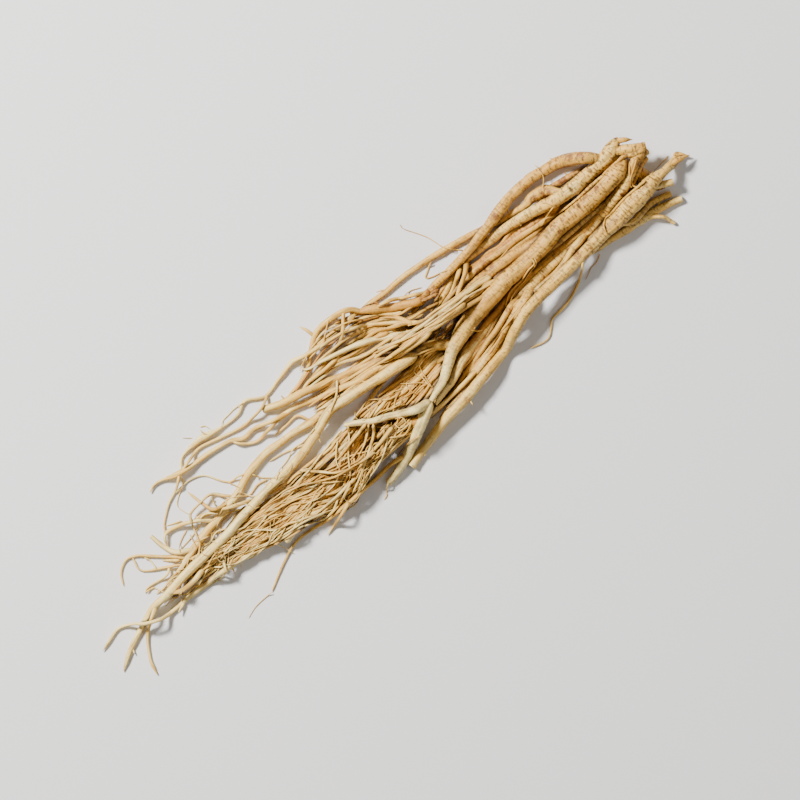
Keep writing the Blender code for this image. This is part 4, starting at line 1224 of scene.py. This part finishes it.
def bark_material(name, pores, scars, roughness):
    """Dry root bark: straw to cream, with wrinkles, cross ridges, pits, scars, cut wood and painted shade.
    """
    material = bpy.data.materials.new(name)
    material.use_nodes = True
    shop = Shop(material.node_tree)
    shader = material.node_tree.nodes["Principled BSDF"]

    def field(kind, output="Fac"):
        return shop.node("ShaderNodeAttribute", {"attribute_name": kind}, {}, output)

    grain = field("grain", "Vector")
    crown = field("crown")
    cut = field("cut")
    wrinkles = shop.pattern(grain, WRINKLES)
    crumbs = shop.pattern(grain, CRUMBS)
    fuzz = shop.pattern(grain, FUZZ)
    patches = shop.pattern(grain, PATCHES) - 0.5
    streaks = shop.pattern(grain, STREAKS) - 0.5

    paleness = field("pale") + patches * PATCH_PALE + streaks * STREAK_PALE
    base = shop.mixed(shop.eased(paleness, *GOLD_RANGE), STRAW, GOLD)
    base = shop.mixed(shop.eased(paleness, *CREAM_RANGE), base, CREAM)
    base = shop.mixed(shop.eased(field("warm") + patches * PATCH_WARM, *ORANGE_RANGE), base, ORANGE)

    ridges = shop.eased(shop.pattern(grain, CROSS_RIDGES), *RIDGE_RANGE)
    ridges = ridges * (crown * (1.0 - RIDGES_LEFT) + RIDGES_LEFT) * pores
    pits = shop.spots(grain, PITS) * pores * (crown * (1.0 - PITS_LEFT) + PITS_LEFT)
    rust = shop.pattern(grain, RUST_PATCHES) + (crumbs - 0.5) * CRUMB_CRUST
    knots = shop.spots(grain, KNOTS) * KNOT_CRUST
    crust = shop.maths("MAXIMUM", shop.eased(rust, *RUST_RANGE), knots) * scars
    crust = shop.maths("MAXIMUM", crust, shop.eased(field("scar"), *SCAR_RANGE))
    crust = crust * shop.eased(crumbs, *CRUMB_RANGE)
    # The mark in the wrinkles' grooves is painted shade, darker where they sink.
    found = {
        "crease_shade": 1.0 - shop.eased(wrinkles, *CREASE_SHADE_RANGE), "fuzz": shop.eased(fuzz, *FUZZ_RANGE),
        "ridge": ridges, "pit": pits, "dot": shop.spots(grain, DOTS) * pores,
        "crust": crust, "fleck": crust * shop.eased(fuzz, *FLECK_RANGE)}
    for mark, (strength, shade) in MARKS.items():
        base = shop.mixed(found[mark] * strength, base, shade)

    wood = shop.mixed(shop.eased(cut, *PITH_RANGE), CUT_WOOD, PITH)
    base = shop.mixed(shop.eased(cut, *WOOD_RANGE), base, wood)
    # Painted shade, darker in the crevices between roots and on their flanks.
    base = shop.mixed(field("deep") * PAINTED_SHADE_STRENGTH, base, SHADE)
    shader.inputs["Roughness"].default_value = roughness
    shader.inputs["Specular IOR Level"].default_value = BARK_SHINE

    raised = (wrinkles, shop.pattern(grain, LUMPS), crumbs, fuzz, ridges, pits, crust)
    height = sum(wire * share for wire, share in zip(raised, BUMP_SHARES))
    values = {"Height": height, "Strength": BUMP_STRENGTH, "Distance": BUMP_DEPTH}
    bump = shop.node("ShaderNodeBump", {}, values)
    material.node_tree.links.new(base.socket, shader.inputs["Base Color"])
    material.node_tree.links.new(bump.socket, shader.inputs["Normal"])
    return material


def courses_object(name, strands, rng):
    """Make one mesh of edge chains, one for each root, with what the growing tree needs to know."""
    points = []
    edges = []
    fields = {"half_width": [], "pale": [], "warm": [], "crown": []}
    course = []
    for strand in strands:
        first = len(points)
        count = len(strand.places)
        middles = to_world(strand.places, strand.heights)
        points.extend(middles.tolist())
        edges.extend((first + number, first + number + 1) for number in range(count - 1))
        run = np.concatenate(([0.0], np.cumsum(np.linalg.norm(np.diff(middles, axis=0), axis=1))))
        shift = rng.uniform(0.0, 1.0, 3)
        course.append(np.column_stack((np.full(count, shift[0]), np.full(count, shift[1]), run + shift[2])))
        away = np.linalg.norm(strand.places - np.array(CROWN_SPOT), axis=1)
        share = smoothstep((away - PALE_FROM) / (PALE_TO - PALE_FROM))
        pale = PALE_RANGE[0] + (PALE_RANGE[1] - PALE_RANGE[0]) * share + strand.look.pale
        part_run = np.linspace(0.0, 1.0, count)
        pale = pale + strand.look.pale_tip * smoothstep((part_run - TIP_PALE_FROM) / (1.0 - TIP_PALE_FROM))
        fields["half_width"].extend(strand.widths / 2 * PLAN_UNIT)
        fields["pale"].extend(np.clip(pale, 0.0, 1.0))
        fields["warm"].extend(np.full(count, strand.look.warm))
        fields["crown"].extend(1.0 - smoothstep(away / CROWN_BARK_TO))
    mesh = bpy.data.meshes.new(name)
    mesh.from_pydata(points, edges, [])
    for key, values in fields.items():
        layer = mesh.attributes.new(key, "FLOAT", "POINT")
        layer.data.foreach_set("value", np.array(values, dtype=np.float32))
    layer = mesh.attributes.new("course", "FLOAT_VECTOR", "POINT")
    layer.data.foreach_set("vector", np.vstack(course).astype(np.float32).ravel())
    item = bpy.data.objects.new(name, mesh)
    bpy.context.scene.collection.objects.link(item)
    return item


def grow_piece(name, strands, inputs, tree, maps, rng):
    """Grow one piece from its roots' courses, as a plain mesh."""
    item = courses_object(name, strands, rng)
    growing = item.modifiers.new("grow", "NODES")
    growing.node_group = tree
    for key, value in inputs.items():
        growing[tree.interface.items_tree[key].identifier] = value
    graph = bpy.context.evaluated_depsgraph_get()
    mesh = bpy.data.meshes.new_from_object(
        item.evaluated_get(graph), preserve_all_data_layers=True, depsgraph=graph)
    item.modifiers.clear()
    item.data = mesh
    painted_shade_and_scars(mesh, maps)
    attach(item, "root")
    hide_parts(NODE)


GRADES = {
    "crown_roots": Grade(22, 0.0009, 0.2, 0.12, 0.1, 0.12, 0.16, "crown_bark"),
    "straw_roots": Grade(12, 0.0013, 0.26, 0.2, 0.14, 0.1, 0.12, "straw_bark"),
    "slender_roots": Grade(8, 0.0016, 0.3, 0.26, 0.16, 0.0, 0.0, "rootlet_skin"),
    "bed_roots": Grade(8, 0.0022, 0.3, 0.26, 0.16, 0.0, 0.0, "straw_bark"),
    "mat_fibres": Grade(6, 0.0021, 0.3, 0.24, 0.14, 0.0, 0.0, "rootlet_skin"),
    "hair_rootlets": Grade(6, 0.0014, 0.3, 0.26, 0.1, 0.0, 0.0, "rootlet_skin"),
}
CROWN_LEAST_WIDTH = 8.6
STRAW_LEAST_WIDTH = 5.2


def grow_everything():
    """Lay every root, and return the strands of each piece by its name, and the crevice maps."""
    rng = np.random.default_rng(TINT_SEED)
    laid, mat_heap = lay_main_roots()
    main = [grown(name, course, tinted(rng, LOOKS.get(name, Look())), rng) for name, course in laid.items()]
    pieces = {"crown_roots": [], "straw_roots": [], "slender_roots": []}
    for strand in main:
        size = strand.widths.mean()
        slender = "straw_roots" if size >= STRAW_LEAST_WIDTH else "slender_roots"
        pieces["crown_roots" if size >= CROWN_LEAST_WIDTH else slender].append(strand)
    pieces["bed_roots"] = bed_strands(LOW_BEDS, floor_layer(rng), rng)
    springy = heap_layer(mat_heap, SPRINGY_SINK, SPRINGY_SHARE)
    limp = heap_layer(mat_heap, LIMP_SINK)
    pieces["mat_fibres"] = [
        *bed_strands(SPRINGY_BEDS, springy, rng),
        *bed_strands(LIMP_BEDS, limp, rng),
    ]
    spur_rng = np.random.default_rng(SPUR_SEED)
    hair_rng = np.random.default_rng(HAIR_SEED)
    heap = heap_of([*main, *pieces["bed_roots"], *pieces["mat_fibres"]])
    sunk = heap_layer(heap, WEB_SINK, SPRINGY_SHARE)
    pieces["crown_roots"].extend(rootlet_strands("web", CROWN_WEB, sunk, WEB_LOOK, hair_rng))
    resting = heap_layer(heap, ROOTLET_SINK)
    pieces["hair_rootlets"] = [
        *rootlet_strands("rootlet", ROOTLETS, resting, ROOTLET_LOOK, hair_rng),
        *rootlet_strands("drawn_hair", HAIRS, resting, HAIR_LOOK, hair_rng),
        *hair_strands(heap_layer(heap, 0.0), hair_rng),
        *spur_strands(main, spur_rng),
    ]
    return pieces, crevice_maps([strand for strands in pieces.values() for strand in strands])


def dress():
    """Make the root's pieces, each with its bark."""
    tree = root_tree()
    rng = np.random.default_rng(TINT_SEED + 1)
    barks = {name: bark_material(name, *values) for name, values in BARKS.items()}
    pieces, maps = grow_everything()
    for name, strands in pieces.items():
        grade = GRADES[name]
        inputs = {
            "Sides": grade.sides, "Ring spacing": grade.spacing, "Wrinkle share": grade.wrinkle,
            "Lump share": grade.lump, "Knot height": grade.knot, "Pit depth": grade.pit,
            "Ridge depth": grade.ridge, "Bark": barks[grade.bark]}
        grow_piece(name, strands, inputs, tree, maps, rng)


# The studio, in metres, degrees and watts.
FLOOR_SIDE = 14.0
FLOOR_COLOUR = (0.8, 0.79, 0.77, 1.0)
FLOOR_ROUGHNESS = 0.9
CAMERA_HEIGHT = 8.0
SENSOR = 36.0
KEY_LIGHT = ((-0.4, 1.9, 2.0), 0.5, 212.0)
FILL_LIGHT = ((0.9, -1.6, 1.8), 1.6, 12.0)
WORLD_COLOUR = (1.0, 0.98, 0.95, 1.0)
WORLD_STRENGTH = 0.22


def lay_floor():
    """Lay the plain pale floor."""
    mesh = bpy.data.meshes.new("floor")
    half = FLOOR_SIDE / 2
    corners = [(-half, -half, 0.0), (half, -half, 0.0), (half, half, 0.0), (-half, half, 0.0)]
    mesh.from_pydata(corners, [], [(0, 1, 2, 3)])
    floor = bpy.data.objects.new("floor", mesh)
    bpy.context.scene.collection.objects.link(floor)
    material = bpy.data.materials.new("plain_floor")
    material.use_nodes = True
    shader = material.node_tree.nodes["Principled BSDF"]
    shader.inputs["Base Color"].default_value = FLOOR_COLOUR
    shader.inputs["Roughness"].default_value = FLOOR_ROUGHNESS
    mesh.materials.append(material)


def set_light(name, light):
    """Set a square soft light that looks at the middle of the root."""
    spot, side, power = light
    data = bpy.data.lights.new(name, "AREA")
    data.size = side
    data.energy = power
    item = bpy.data.objects.new(name, data)
    item.location = spot
    item.rotation_euler = (-Vector(spot)).to_track_quat("-Z", "Y").to_euler()
    bpy.context.scene.collection.objects.link(item)


def set_world():
    """Fill the shade with an even pale light."""
    world = bpy.data.worlds.new("studio")
    world.use_nodes = True
    sky = world.node_tree.nodes["Background"]
    sky.inputs["Color"].default_value = WORLD_COLOUR
    sky.inputs["Strength"].default_value = WORLD_STRENGTH
    bpy.context.scene.world = world


def set_camera():
    """Look straight down on the root, turned so that the crown is at the upper right."""
    data = bpy.data.cameras.new("camera")
    data.sensor_width = SENSOR
    data.lens = SENSOR * CAMERA_HEIGHT / (PLAN_SIDE * PLAN_UNIT)
    camera = bpy.data.objects.new("camera", data)
    middle = to_world(np.array([[PLAN_SIDE / 2, PLAN_SIDE / 2]]), np.array([0.0]))[0]
    camera.location = (middle[0], middle[1], CAMERA_HEIGHT)
    camera.rotation_euler = Euler((0.0, 0.0, -math.radians(CROWN_BEARING)))
    bpy.context.scene.collection.objects.link(camera)
    bpy.context.scene.camera = camera


dress()
lay_floor()
set_light("key_light", KEY_LIGHT)
set_light("fill_light", FILL_LIGHT)
set_world()
set_camera()
